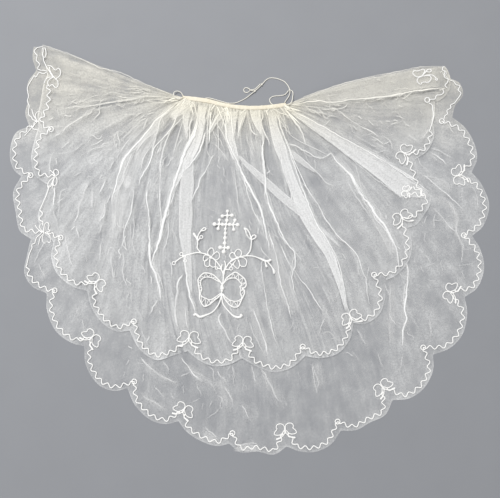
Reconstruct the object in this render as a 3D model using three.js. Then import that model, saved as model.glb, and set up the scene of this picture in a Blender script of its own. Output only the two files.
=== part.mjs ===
// Two-tier communion veil of tulle, lying flat, with a gathering band and elastic cords.
// Millimetres, +Z up. The veil lies on z = 0, the band towards +Y, the long hem towards -Y.
import * as THREE from 'three';
import { mergeVertices } from 'three/addons/utils/BufferGeometryUtils.js';

// Driving sizes
const LONG_TIER = 610; // lower tier from band to hem, a 24 inch cut
const CLOTH = 1; // wall of a tier, its net and the air in its folds
const LAYER_GAP = 0.5; // clear space between the two tiers
const TOUCH_GAP = 0.3; // between pieces that touch on the real veil
const BAND_WIDTH = 7.2; // binding, seen from above
const BINDING = 1; // wall of the folded binding
const BINDING_ROUND = 1.2; // rounding of its folded edge
const TUCKED = 6; // stretch of the tiers that lies flat in and beside the binding
const CORD = 1.6; // diameter of the elastic
const KNOT_RADIUS = 2.2;
const KNOT_LENGTH = 3.4;
const KNOT_SHOULDER = 0.8; // radius of a knot's ends, as a share of its middle's

// Chart: the veil is charted on a picture 500 units wide, seen from EYE_TILT above the table.
const CHART_CENTRE = { column: 250, row: 249 };
const CHART_LONG_TIER = 350; // units from band to the lowest scallop, with the slack of the folds
const CHART_LENS = 500; // distance of the eye, in the picture's units
const EYE_TILT = THREE.MathUtils.degToRad(82);
const UNIT = LONG_TIER / CHART_LONG_TIER; // mm to a unit in the middle of the picture

// Mesh steps
const STEPS_PER_SCALLOP = 6;
const BAND_STEPS = 36;
const CORD_SIDES = 8;
const CORD_STEP = 3 * CORD;
const KNOT_SIDES = 12;

// Heights of the layers where the binding holds them
const LOWER_TUCK_Z = BINDING + TOUCH_GAP;
const UPPER_TUCK_Z = LOWER_TUCK_Z + CLOTH + LAYER_GAP;
const BAND_HEIGHT = UPPER_TUCK_Z + CLOTH + TOUCH_GAP + BINDING;

// Rows of a tier, by distance from its top edge. The last ones are shares of the way to the hem.
const NEAR_ROWS = [0, TUCKED, 26, 60];
const FAR_ROWS = [0.3, 0.5, 0.7, 0.86, 1];

// Gathers stand up just below the band and flatten towards the hem
const GATHER_PITCH = 3; // columns to a gather
const GATHER_HEIGHT = 3.4;
const GATHER_START = 9;
const GATHER_PEAK = 55;
const GATHER_REACH = 260;

// A fold rises over a share of the way to the hem, and runs out over another
const FOLD_RISE = 0.15;
const FOLD_RUN_OUT = { before: 0.3, after: 0.1 };
const STEEPEST = 0.7; // cosine of the steepest slope that a wall is thickened for

// The binding's middle line, from its left end to its right end
const BAND_LINE = [
  { column: 183, row: 98.5 },
  { column: 206, row: 101.5 },
  { column: 230, row: 107 },
  { column: 253, row: 108.8 },
  { column: 275, row: 107.2 },
  { column: 286, row: 105.4 },
];

// Lower hem: each row is a cusp and three points of the scallop that follows it, left to right
const LOWER_HEM = [
  { cusp: [34, 47], rise: [33, 53], crown: [33, 60], fall: [35, 66] },
  { cusp: [36.5, 71], rise: [28, 83], crown: [28.5, 100], fall: [25.5, 113] },
  { cusp: [29.5, 126.5], rise: [16, 133], crown: [10, 153], fall: [13.5, 169] },
  { cusp: [21.5, 176.5], rise: [13.5, 192], crown: [16, 213], fall: [20, 231] },
  { cusp: [31, 239], rise: [27, 256], crown: [24.5, 273], fall: [33, 287] },
  { cusp: [47, 293], rise: [47, 310], crown: [56, 331], fall: [72, 343] },
  { cusp: [84.5, 346], rise: [86, 365], crown: [99, 385], fall: [115, 391] },
  { cusp: [127.5, 388], rise: [135, 405], crown: [151, 420], fall: [166, 424] },
  { cusp: [178.5, 421], rise: [187, 432], crown: [203, 442], fall: [218, 446] },
  { cusp: [229, 443.5], rise: [241, 452.5], crown: [257, 451.5], fall: [274, 454.5] },
  { cusp: [286.5, 446.5], rise: [299, 451], crown: [314, 452], fall: [330, 445] },
  { cusp: [341, 430.5], rise: [356, 430], crown: [370, 422.5], fall: [385, 415] },
  { cusp: [392.5, 400], rise: [409, 398.5], crown: [424, 388], fall: [433, 370] },
  { cusp: [433, 354.5], rise: [450, 348], crown: [462.5, 334], fall: [467, 313] },
  { cusp: [464.5, 297], rise: [477, 288], crown: [484, 268], fall: [480, 249] },
  { cusp: [472, 236], rise: [483, 226], crown: [489, 205], fall: [481, 184] },
  { cusp: [471.5, 172.5], rise: [477, 158], crown: [473, 141], fall: [464, 127] },
  { cusp: [452, 117.5], rise: [455, 106], crown: [463, 95], fall: [459, 83] },
  { cusp: [450.5, 79], rise: [449, 75], crown: [447.5, 71], fall: [446, 68] },
  { cusp: [444, 67] },
];

// Upper hem, in the same way. Rows 13 and 16 are the corners of folded pleats.
const UPPER_HEM = [
  { cusp: [43.5, 45.5], rise: [42, 52], crown: [43.5, 59], fall: [46.5, 67] },
  { cusp: [48, 76], rise: [44, 86], crown: [41.5, 102], fall: [38.5, 117] },
  { cusp: [39.5, 127], rise: [35, 142], crown: [32, 159], fall: [36, 176] },
  { cusp: [49.5, 186], rise: [44.5, 200], crown: [38.5, 217], fall: [44, 232] },
  { cusp: [54.5, 242], rise: [52, 257], crown: [58, 274], fall: [74, 287] },
  { cusp: [88, 291], rise: [92, 307], crown: [104, 324], fall: [118, 331.5] },
  { cusp: [130, 330.5], rise: [140, 349], crown: [157, 360], fall: [174, 355] },
  { cusp: [188, 351], rise: [199, 360], crown: [214, 366], fall: [230, 364] },
  { cusp: [242, 358], rise: [256, 366], crown: [274, 372], fall: [292, 367] },
  { cusp: [305, 356], rise: [320, 358], crown: [338, 353], fall: [350, 338] },
  { cusp: [353, 323], rise: [365, 323.5], crown: [379, 314], fall: [384.5, 298] },
  { cusp: [384, 281], rise: [396, 275], crown: [408, 261], fall: [411.5, 244] },
  { cusp: [406.5, 228], rise: [415, 225.5], crown: [423, 216], fall: [429, 206] },
  { cusp: [431, 196], rise: [425, 191], crown: [420, 182], fall: [417, 171] },
  { cusp: [414, 160], rise: [426, 152], crown: [433.5, 137], fall: [432, 120] },
  { cusp: [434.5, 102.5], rise: [439, 101], crown: [443, 98], fall: [446.5, 94] },
  { cusp: [449.5, 88.5], rise: [450, 82], crown: [449, 76], fall: [447, 71] },
  { cusp: [444, 67] },
];

// Folds: where each leaves the band (share of its length) and meets the hem (scallops from the
// left), how far it bows sideways on the way, its height, its width in columns, and the shares of
// the way to the hem between which it stands.
const UPPER_FOLDS = [
  { band: 0, hem: 0, bow: 0, height: 0, width: 1, from: 0, to: 1 },
  { band: 0.01, hem: 1.5, bow: 0, height: 3, width: 2, from: 0.2, to: 0.9 },
  { band: 0.04, hem: 3.4, bow: 8, height: 4, width: 2, from: 0.1, to: 0.9 },
  { band: 0.12, hem: 4.8, bow: 24, height: 7, width: 2, from: 0, to: 0.8 },
  { band: 0.19, hem: 5.6, bow: 16, height: 5, width: 2, from: 0.1, to: 0.9 },
  { band: 0.27, hem: 6.5, bow: 14, height: 8, width: 2, from: 0, to: 1 },
  { band: 0.35, hem: 7.1, bow: 12, height: 6, width: 3, from: 0.1, to: 0.95 },
  { band: 0.46, hem: 8.1, bow: 2, height: 6, width: 2, from: 0, to: 0.8 },
  { band: 0.55, hem: 8.9, bow: -8, height: 8, width: 2, from: 0, to: 0.95 },
  { band: 0.68, hem: 9.7, bow: -8, height: 6, width: 2, from: 0, to: 0.8 },
  { band: 0.78, hem: 10.4, bow: -12, height: 8, width: 3, from: 0.05, to: 1 },
  { band: 0.88, hem: 11.4, bow: -12, height: 6, width: 2, from: 0.1, to: 0.95 },
  { band: 0.96, hem: 12.9, bow: 8, height: 7, width: 4, from: 0.02, to: 1 },
  { band: 0.985, hem: 14.4, bow: 4, height: 4, width: 3, from: 0.2, to: 0.9 },
  { band: 0.995, hem: 16.2, bow: 8, height: 4, width: 3, from: 0.05, to: 0.95 },
  { band: 1, hem: 17, bow: 9, height: 0, width: 1, from: 0, to: 1 },
];

// The lower tier's folds stand only where the upper tier leaves it bare
const LOWER_FOLDS = [
  { band: 0, hem: 0, bow: 0, height: 0, width: 1, from: 0, to: 1 },
  { band: 0.01, hem: 2, bow: 0, height: 0, width: 1, from: 0, to: 1 },
  { band: 0.08, hem: 4.5, bow: 4, height: 2, width: 2, from: 0.86, to: 1 },
  { band: 0.2, hem: 6.6, bow: 4, height: 3, width: 2, from: 0.84, to: 1 },
  { band: 0.34, hem: 8.1, bow: 0, height: 4, width: 2, from: 0.84, to: 1 },
  { band: 0.5, hem: 9.3, bow: 0, height: 3, width: 2, from: 0.84, to: 1 },
  { band: 0.66, hem: 10.5, bow: 0, height: 3, width: 2, from: 0.86, to: 1 },
  { band: 0.8, hem: 11.6, bow: 0, height: 4, width: 2, from: 0.84, to: 1 },
  { band: 0.9, hem: 12.5, bow: 0, height: 5, width: 2, from: 0.84, to: 1 },
  { band: 0.97, hem: 14.5, bow: 0, height: 3, width: 3, from: 0.9, to: 1 },
  { band: 0.99, hem: 16.4, bow: 2, height: 2, width: 2, from: 0.9, to: 1 },
  { band: 1, hem: 19, bow: 9, height: 0, width: 1, from: 0, to: 1 },
];

// Routes of the cords: chart column and row, and the height of the cord's middle above the table
const ON_TABLE = CORD / 2;
const AT_KNOT = KNOT_RADIUS;
const GATHER_SWELL = 2.6; // rise of the gathers where a loop lies on them
const ON_TULLE = UPPER_TUCK_Z + CLOTH + GATHER_SWELL + CORD / 2;
const HEAD_ELASTIC = [
  [205.3, 98.8, 1.6], [208, 98.3, 1.3], [214, 99.4, ON_TABLE], [222, 101.8, ON_TABLE],
  [229, 103.4, ON_TABLE], [235, 103.2, ON_TABLE], [241, 101, ON_TABLE], [246.5, 98, 1.1],
  [251, 94.6, 1.9], [254.6, 91.7, AT_KNOT], [257, 89.6, 1.9], [259.4, 87.3, 1.9],
  [261.6, 85.1, AT_KNOT], [263.7, 82.9, 1.9], [266, 80.4, 1.2], [269.4, 78.4, ON_TABLE],
  [275, 78.4, ON_TABLE], [280, 79.8, ON_TABLE], [284.4, 82, 1.1], [287.3, 85.3, 1.7],
  [289.2, 89, AT_KNOT], [289.9, 92.6, AT_KNOT], [289, 96, 1.9], [287.2, 99, 1.9],
  [285.4, 101.6, 2], [284.6, 102.9, 2],
];
const TIE_LOOP = [
  [260.1, 84.6, AT_KNOT], [258.3, 86.5, 1.7], [255.6, 88.9, 1.4], [253.3, 90, 1],
  [251.2, 90.2, ON_TABLE], [249.4, 91.3, ON_TABLE], [247.8, 92.5, ON_TABLE], [246, 92.8, ON_TABLE],
  [244.3, 91.8, ON_TABLE], [243.8, 90, ON_TABLE], [244.9, 88.3, ON_TABLE], [246.9, 88.1, 1.1],
  [248.6, 89, 2], [249.5, 89.9, 2.7], [250.3, 90.7, 2.8], [251.2, 91.2, 2.6], [252.1, 91.3, 2.4],
  [253.1, 91.1, AT_KNOT],
];
const LEFT_LOOP = [
  [182.8, 95.7, 2.6], [181.2, 93.3, 2.8], [177.8, 92, 3.6], [174.9, 93.2, 5], [174.2, 96.4, ON_TULLE],
  [176.4, 99.4, ON_TULLE], [179.3, 100.7, ON_TULLE], [181.2, 100, ON_TULLE],
];
const RIGHT_LOOP_INNER = [
  [272.5, 105, 2], [270.6, 103.2, 1.2], [269.6, 100, ON_TABLE], [271.4, 97.4, ON_TABLE],
  [275.4, 96.2, ON_TABLE], [280, 95.9, ON_TABLE], [284.6, 95, 1.2], [286.9, 93, 1.8],
  [288.1, 91.4, AT_KNOT],
];
const RIGHT_LOOP_OUTER = [
  [291.2, 90.9, AT_KNOT], [292.5, 92.3, 2.4], [292.9, 94.7, 2.9], [292.5, 97.5, 3.9],
  [292.2, 100.3, 5.4], [291.3, 103.2, ON_TULLE], [289.7, 105.3, ON_TULLE], [287.8, 106.2, ON_TULLE],
];

// Knots: each sits on the elastic between two points of its route, and points along them
const KNOTS = [
  { name: 'knot_a', before: 8, after: 10 },
  { name: 'knot_b', before: 11, after: 13 },
  { name: 'knot_c', before: 20, after: 21 },
];

// Point on the table that a place on the chart shows, as seen from the eye of the picture
function laid(column, row, z = 0) {
  const reach = CHART_LENS * UNIT;
  const right = (column - CHART_CENTRE.column) / CHART_LENS;
  const up = (CHART_CENTRE.row - row) / CHART_LENS;
  const rise = Math.sin(EYE_TILT);
  const lean = Math.cos(EYE_TILT);
  const along = (reach * rise) / (rise - up * lean);
  return new THREE.Vector3(along * right, along * (lean + up * rise) - reach * lean, z);
}

function routeCurve(points) {
  const places = points.map(([column, row, z]) => laid(column, row, z));
  return new THREE.CatmullRomCurve3(places, false, 'centripetal');
}

const bandCurve = new THREE.CatmullRomCurve3(
  BAND_LINE.map(({ column, row }) => laid(column, row)), false, 'centripetal');

// Hem as one curve to a scallop, through its cusp, its three points and the next cusp
function hemCurves(rows) {
  return rows.slice(0, -1).map(({ cusp, rise, crown, fall }, index) => {
    const points = [cusp, rise, crown, fall, rows[index + 1].cusp];
    return new THREE.CatmullRomCurve3(points.map(([x, y]) => laid(x, y)), false, 'centripetal');
  });
}

// Value of a column of the fold table at a place on the hem, on straight lines between its rows
function between(folds, hem, key) {
  const next = Math.max(1, folds.findIndex((fold) => fold.hem >= hem));
  const [a, b] = [folds[next - 1], folds[next]];
  return THREE.MathUtils.mapLinear(hem, a.hem, b.hem, a[key], b[key]);
}

function smooth(value, low, high) {
  return THREE.MathUtils.smoothstep(value, low, high);
}

// Relief of one tier above its base: the folds of its table and, near the band, its gathers
function foldHeight(folds, column, share) {
  let height = 0;
  for (const fold of folds) {
    const aside = Math.abs(column - fold.hem * STEPS_PER_SCALLOP) / fold.width;
    if (aside >= 1) continue;
    const rise = smooth(share, fold.from, fold.from + FOLD_RISE);
    const fall = 1 - smooth(share, fold.to - FOLD_RUN_OUT.before, fold.to + FOLD_RUN_OUT.after);
    height = Math.max(height, fold.height * rise * fall * (1 + Math.cos(Math.PI * aside)) / 2);
  }
  return height;
}

function gatherHeight(column, distance) {
  const rise = smooth(distance, GATHER_START, GATHER_PEAK);
  const fall = 1 - smooth(distance, GATHER_PEAK, GATHER_REACH);
  return GATHER_HEIGHT * rise * fall * (1 - Math.cos((2 * Math.PI * column) / GATHER_PITCH)) / 2;
}

// Closed wall over a grid of underside points. Each point is lifted by the wall's thickness,
// more where the cloth is steep, so that the wall keeps its thickness.
function wall(grid, thickness) {
  const rows = grid.length;
  const columns = grid[0].length;
  const at = (j, i) => grid[Math.min(Math.max(j, 0), rows - 1)][Math.min(Math.max(i, 0), columns - 1)];
  const positions = [];
  for (const side of ['under', 'over']) {
    for (let j = 0; j < rows; j += 1) {
      for (let i = 0; i < columns; i += 1) {
        const point = grid[j][i].clone();
        if (side === 'over') {
          const across = at(j, i + 1).clone().sub(at(j, i - 1));
          const down = at(j + 1, i).clone().sub(at(j - 1, i));
          const normal = across.cross(down).normalize();
          point.z += thickness / Math.max(Math.abs(normal.z), STEEPEST);
        }
        positions.push(point.x, point.y, point.z);
      }
    }
  }
  const layer = rows * columns;
  const index = [];
  const quad = (a, b, c, d) => index.push(a, b, c, a, c, d);
  for (let j = 0; j < rows - 1; j += 1) {
    for (let i = 0; i < columns - 1; i += 1) {
      const a = j * columns + i;
      const b = a + 1;
      const c = a + columns;
      const d = c + 1;
      quad(a, b, d, c);
      quad(layer + a, layer + c, layer + d, layer + b);
    }
  }
  const rim = [];
  for (let i = 0; i < columns - 1; i += 1) rim.push(i);
  for (let j = 0; j < rows - 1; j += 1) rim.push(j * columns + columns - 1);
  for (let i = columns - 1; i > 0; i -= 1) rim.push((rows - 1) * columns + i);
  for (let j = rows - 1; j > 0; j -= 1) rim.push(j * columns);
  rim.forEach((a, k) => {
    const b = rim[(k + 1) % rim.length];
    quad(a, layer + a, layer + b, b);
  });
  const geometry = new THREE.BufferGeometry();
  geometry.setAttribute('position', new THREE.Float32BufferAttribute(positions, 3));
  geometry.setIndex(index);
  return geometry;
}

// A tier: columns fan out from the band to the hem, base gives the height that it lies at
function tierGeometry(hemRows, folds, base, gathered) {
  const hem = hemCurves(hemRows);
  const columns = hem.length * STEPS_PER_SCALLOP;
  const topEdge = [];
  const hemEdge = [];
  for (let i = 0; i <= columns; i += 1) {
    const place = i / STEPS_PER_SCALLOP;
    const scallop = Math.min(Math.floor(place), hem.length - 1);
    hemEdge.push(hem[scallop].getPoint(place - scallop));
    topEdge.push(bandCurve.getPointAt(between(folds, place, 'band')));
  }
  const grid = [];
  for (let j = 0; j < NEAR_ROWS.length + FAR_ROWS.length; j += 1) {
    const row = [];
    for (let i = 0; i <= columns; i += 1) {
      const way = hemEdge[i].clone().sub(topEdge[i]);
      const length = way.length();
      const share = j < NEAR_ROWS.length ? NEAR_ROWS[j] / length : FAR_ROWS[j - NEAR_ROWS.length];
      const bow = between(folds, i / STEPS_PER_SCALLOP, 'bow') * 4 * share * (1 - share);
      const aside = new THREE.Vector3(-way.y, way.x, 0).normalize();
      const point = topEdge[i].clone().addScaledVector(way, share).addScaledVector(aside, -bow);
      const distance = share * length;
      point.z = base(distance) + Math.max(
        foldHeight(folds, i, share) * smooth(distance, GATHER_START, GATHER_PEAK),
        gathered ? gatherHeight(i, distance) : 0);
      row.push(point);
    }
    grid.push(row);
  }
  return wall(grid, CLOTH);
}

function lowerBase(distance) {
  return LOWER_TUCK_Z * (1 - smooth(distance, NEAR_ROWS[1], NEAR_ROWS[2]));
}

function upperBase(distance) {
  const flat = CLOTH + LAYER_GAP;
  return flat + (UPPER_TUCK_Z - flat) * (1 - smooth(distance, NEAR_ROWS[2], NEAR_ROWS[3]));
}

// The binding: a strip folded over the tiers' top edges, open towards the tiers
function bindingGeometry() {
  const half = BAND_WIDTH / 2;
  const inner = TOUCH_GAP;
  const edge = half - BINDING_ROUND;
  const roof = BAND_HEIGHT - BINDING;
  const section = [
    [-half, 0], [edge, 0], [half, BINDING_ROUND], [half, BAND_HEIGHT - BINDING_ROUND], [edge, BAND_HEIGHT],
    [-half, BAND_HEIGHT], [-half, roof], [inner, roof], [inner, BINDING], [-half, BINDING],
  ].map(([across, z]) => new THREE.Vector2(across, z));
  const positions = [];
  for (let k = 0; k <= BAND_STEPS; k += 1) {
    const middle = bandCurve.getPointAt(k / BAND_STEPS);
    const way = bandCurve.getTangentAt(k / BAND_STEPS);
    const away = new THREE.Vector3(-way.y, way.x, 0).normalize();
    for (const point of section) {
      const place = middle.clone().addScaledVector(away, point.x);
      positions.push(place.x, place.y, point.y);
    }
  }
  const size = section.length;
  const index = [];
  for (let k = 0; k < BAND_STEPS; k += 1) {
    for (let n = 0; n < size; n += 1) {
      const a = k * size + n;
      const b = k * size + (n + 1) % size;
      index.push(a, b, b + size, a, b + size, a + size);
    }
  }
  const last = BAND_STEPS * size;
  for (const [a, b, c] of THREE.ShapeUtils.triangulateShape(section, [])) {
    index.push(a, c, b, last + a, last + b, last + c);
  }
  const geometry = new THREE.BufferGeometry();
  geometry.setAttribute('position', new THREE.Float32BufferAttribute(positions, 3));
  geometry.setIndex(index);
  return geometry;
}

// The same surface with its shared corners merged
function closed(geometry) {
  geometry.deleteAttribute('normal');
  geometry.deleteAttribute('uv');
  return mergeVertices(geometry);
}

// A round cord along its route
function cordGeometry(points) {
  const curve = routeCurve(points);
  const corners = [];
  for (let k = 0; k < CORD_SIDES; k += 1) {
    const angle = (2 * Math.PI * k) / CORD_SIDES;
    corners.push(new THREE.Vector2(Math.cos(angle), Math.sin(angle)).multiplyScalar(CORD / 2));
  }
  const steps = Math.round(curve.getLength() / CORD_STEP);
  return closed(new THREE.ExtrudeGeometry(new THREE.Shape(corners), { extrudePath: curve, steps }));
}

// A knot: a rounded sleeve around the cord, with its hole just clear of it
function knotGeometry() {
  const hole = CORD / 2 + TOUCH_GAP;
  const half = KNOT_LENGTH / 2;
  const shoulder = KNOT_RADIUS * KNOT_SHOULDER;
  const profile = [
    [hole, -half], [shoulder, -half], [KNOT_RADIUS, -half / 2], [KNOT_RADIUS, half / 2],
    [shoulder, half], [hole, half], [hole, -half],
  ].map(([radius, y]) => new THREE.Vector2(radius, y));
  return closed(new THREE.LatheGeometry(profile, KNOT_SIDES));
}

const material = (color, roughness) => new THREE.MeshStandardMaterial({
  color, roughness, metalness: 0, side: THREE.DoubleSide,
});

const veil = new THREE.Group();

function add(name, geometry, surface) {
  const mesh = new THREE.Mesh(geometry, surface);
  mesh.name = name;
  veil.add(mesh);
  return mesh;
}

const WHITE = 0xf6f4ee;
const CREAM = 0xf3ecd8;
const IVORY = 0xf2ecdc;

add('lower_tier', tierGeometry(LOWER_HEM, LOWER_FOLDS, lowerBase, false), material(WHITE, 0.85));
add('upper_tier', tierGeometry(UPPER_HEM, UPPER_FOLDS, upperBase, true), material(WHITE, 0.85));
add('gathering_band', bindingGeometry(), material(CREAM, 0.7));

// The origin is the middle of what has been added so far, on the table
const box = new THREE.Box3().setFromObject(veil);
const middle = box.getCenter(new THREE.Vector3());

add('head_elastic', cordGeometry(HEAD_ELASTIC), material(IVORY, 0.6));
add('tie_loop', cordGeometry(TIE_LOOP), material(IVORY, 0.6));
add('left_loop', cordGeometry(LEFT_LOOP), material(IVORY, 0.6));
add('right_loop_inner', cordGeometry(RIGHT_LOOP_INNER), material(IVORY, 0.6));
add('right_loop_outer', cordGeometry(RIGHT_LOOP_OUTER), material(IVORY, 0.6));

const UP = new THREE.Vector3(0, 1, 0); // a lathed knot's own axis
for (const { name, before, after } of KNOTS) {
  const from = laid(...HEAD_ELASTIC[before]);
  const to = laid(...HEAD_ELASTIC[after]);
  const knot = add(name, knotGeometry(), material(IVORY, 0.6));
  knot.position.copy(after - before > 1 ? laid(...HEAD_ELASTIC[before + 1]) : from.clone().lerp(to, 0.5));
  knot.quaternion.setFromUnitVectors(UP, to.sub(from).normalize());
}

veil.children.forEach((mesh) => {
  mesh.position.x -= middle.x;
  mesh.position.y -= middle.y;
});

export default veil;
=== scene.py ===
import math
from collections import namedtuple

import bpy
import numpy as np
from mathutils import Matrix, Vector
from mathutils.bvhtree import BVHTree


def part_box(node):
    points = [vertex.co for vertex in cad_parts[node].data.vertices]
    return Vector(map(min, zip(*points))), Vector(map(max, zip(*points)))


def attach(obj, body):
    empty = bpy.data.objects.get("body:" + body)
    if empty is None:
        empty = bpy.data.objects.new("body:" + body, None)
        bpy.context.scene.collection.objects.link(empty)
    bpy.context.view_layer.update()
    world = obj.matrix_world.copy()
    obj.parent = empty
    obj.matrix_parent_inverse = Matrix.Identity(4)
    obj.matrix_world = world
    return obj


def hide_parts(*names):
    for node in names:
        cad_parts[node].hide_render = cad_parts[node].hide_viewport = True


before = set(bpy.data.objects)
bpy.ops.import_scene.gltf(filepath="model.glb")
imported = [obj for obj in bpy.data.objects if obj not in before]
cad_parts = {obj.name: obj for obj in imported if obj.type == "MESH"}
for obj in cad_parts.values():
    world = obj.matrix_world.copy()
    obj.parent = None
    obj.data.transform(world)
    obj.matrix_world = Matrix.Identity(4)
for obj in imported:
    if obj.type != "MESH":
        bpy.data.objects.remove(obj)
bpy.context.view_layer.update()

# The camera
# The veil lies on a table and is seen from almost straight above. A chart of the table, as the
# camera sees it and 500 units wide, gives every place on the veil.
LONG_TIER = 0.610  # metres from the band to the long hem
CHART_LONG_TIER = 350  # the same on the chart
CHART_CENTRE = (250, 249)
CHART_LENS = 500
CHART_WIDTH = 500
EYE_TILT = math.radians(82)
UNIT = LONG_TIER / CHART_LONG_TIER
EYE_REACH = CHART_LENS * UNIT
CHART_LEFT = (10, 153)  # where the long tier's box begins
CHART_TOP = (43.5, 45.5)  # where the short tier's box ends
SENSOR = 36
NEAREST = 0.01


def spread(places):
    """Where chart places lie on the table, in metres from the middle of the chart"""
    places = np.asarray(places, float)
    right = (places[..., 0] - CHART_CENTRE[0]) / CHART_LENS
    up = (CHART_CENTRE[1] - places[..., 1]) / CHART_LENS
    rise, lean = math.sin(EYE_TILT), math.cos(EYE_TILT)
    along = EYE_REACH * rise / (rise - up * lean)
    return np.stack([along * right, along * (lean + up * rise) - EYE_REACH * lean], -1)


chart_origin = np.array([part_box("lower_tier")[0].x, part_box("upper_tier")[1].y])
chart_origin -= [spread(CHART_LEFT)[0], spread(CHART_TOP)[1]]


def laid(places):
    """Where chart places lie in the frame, in metres"""
    return spread(places) + chart_origin


bpy.ops.object.select_all(action="DESELECT")
aim = laid(CHART_CENTRE)
eye = (aim[0], aim[1] - EYE_REACH * math.cos(EYE_TILT), EYE_REACH * math.sin(EYE_TILT))
bpy.ops.object.camera_add(location=eye, rotation=(math.pi / 2 - EYE_TILT, 0, 0))
camera = bpy.context.object
camera.data.sensor_width = SENSOR
camera.data.lens = SENSOR * CHART_LENS / CHART_WIDTH
camera.data.clip_start = NEAREST
bpy.context.scene.camera = camera

# The elastic cords
# A round elastic, 1.6 mm thick and covered in spun thread, runs from the band's left third to its
# right end through three knots. Short loops of it at both ends take hair pins.
CORD = 0.0016
MM = 0.001
ON_TABLE = 0.8
AT_KNOT = 2.2
ON_TULLE = 7.2
HEAD_ELASTIC = [
    (205.3, 98.8, 1.6), (208, 98.3, 1.3), (214, 99.4, ON_TABLE), (222, 101.8, ON_TABLE),
    (229, 103.4, ON_TABLE), (235, 103.2, ON_TABLE), (241, 101, ON_TABLE), (246.5, 98, 1.1),
    (251, 94.6, 1.9), (254.6, 91.7, AT_KNOT), (257, 89.6, 1.9), (259.4, 87.3, 1.9),
    (261.6, 85.1, AT_KNOT), (263.7, 82.9, 1.9), (266, 80.4, 1.2), (269.4, 78.4, ON_TABLE),
    (275, 78.4, ON_TABLE), (280, 79.8, ON_TABLE), (284.4, 82, 1.1), (287.3, 85.3, 1.7),
    (289.2, 89, AT_KNOT), (289.9, 92.6, AT_KNOT), (289, 96, 1.9), (287.2, 99, 1.9),
    (285.4, 101.6, 2), (284.6, 102.9, 2),
]
TIE_LOOP = [
    (260.1, 84.6, AT_KNOT), (258.3, 86.5, 1.7), (255.6, 88.9, 1.4), (253.3, 90, 1),
    (251.2, 90.2, ON_TABLE), (249.4, 91.3, ON_TABLE), (247.8, 92.5, ON_TABLE), (246, 92.8, ON_TABLE),
    (244.3, 91.8, ON_TABLE), (243.8, 90, ON_TABLE), (244.9, 88.3, ON_TABLE), (246.9, 88.1, 1.1),
    (248.6, 89, 2), (249.5, 89.9, 2.7), (250.3, 90.7, 2.8), (251.2, 91.2, 2.6), (252.1, 91.3, 2.4),
    (253.1, 91.1, AT_KNOT),
]
LEFT_LOOP = [
    (182.8, 95.7, 2.6), (181.2, 93.3, 2.8), (177.8, 92, 3.6), (174.9, 93.2, 5), (174.2, 96.4, ON_TULLE),
    (176.4, 99.4, ON_TULLE), (179.3, 100.7, ON_TULLE), (181.2, 100, ON_TULLE),
]
RIGHT_LOOP_INNER = [
    (272.5, 105, 2), (270.6, 103.2, 1.2), (269.6, 100, ON_TABLE), (271.4, 97.4, ON_TABLE),
    (275.4, 96.2, ON_TABLE), (280, 95.9, ON_TABLE), (284.6, 95, 1.2), (286.9, 93, 1.8),
    (288.1, 91.4, AT_KNOT),
]
RIGHT_LOOP_OUTER = [
    (291.2, 90.9, AT_KNOT), (292.5, 92.3, 2.4), (292.9, 94.7, 2.9), (292.5, 97.5, 3.9),
    (292.2, 100.3, 5.4), (291.3, 103.2, ON_TULLE), (289.7, 105.3, ON_TULLE), (287.8, 106.2, ON_TULLE),
]
CORD_SIDES = 12
CURVE_STEPS = 12
ROUTE_STEPS = 6
CORD_TIP = 0.6  # how far a cord's rounded end stands out, as a share of its radius


def smooth_line(points, steps=CURVE_STEPS):
    """A centripetal spline through points, with the same number of steps between each two"""
    points = np.asarray(points, float)
    points = np.vstack([2 * points[0] - points[1], points, 2 * points[-1] - points[-2]])
    line = []
    for a, b, c, d in zip(points, points[1:], points[2:], points[3:]):
        gap_a = max(np.linalg.norm(b - a) ** 0.5, 1e-9)
        gap_b = max(np.linalg.norm(c - b) ** 0.5, 1e-9)
        gap_c = max(np.linalg.norm(d - c) ** 0.5, 1e-9)
        leave = ((b - a) / gap_a - (c - a) / (gap_a + gap_b) + (c - b) / gap_b) * gap_b
        reach = ((c - b) / gap_b - (d - b) / (gap_b + gap_c) + (d - c) / gap_c) * gap_b
        t = (np.arange(steps) / steps)[:, None]
        square, cube = t * t, t * t * t
        line.append((2 * cube - 3 * square + 1) * b + (cube - 2 * square + t) * leave
                    + (3 * square - 2 * cube) * c + (cube - square) * reach)
    return np.vstack([*line, points[-2]])


def along(line):
    """Distance of each point of a line from its start"""
    return np.concatenate([[0], np.cumsum(np.linalg.norm(np.diff(line, axis=0), axis=1))])


def pick(line, shares):
    """Points at shares of a line's length"""
    way = along(line)
    return np.stack([np.interp(np.asarray(shares) * way[-1], way, axis) for axis in line.T], -1)


def directions(line):
    """The unit direction of a line at each of its points"""
    step = np.gradient(line, axis=0)
    return step / np.linalg.norm(step, axis=1)[:, None]


def leftward(line):
    """The unit vector to the left of a flat line, at each of its points"""
    ahead = directions(line)
    return np.stack([-ahead[:, 1], ahead[:, 0]], -1)


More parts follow.
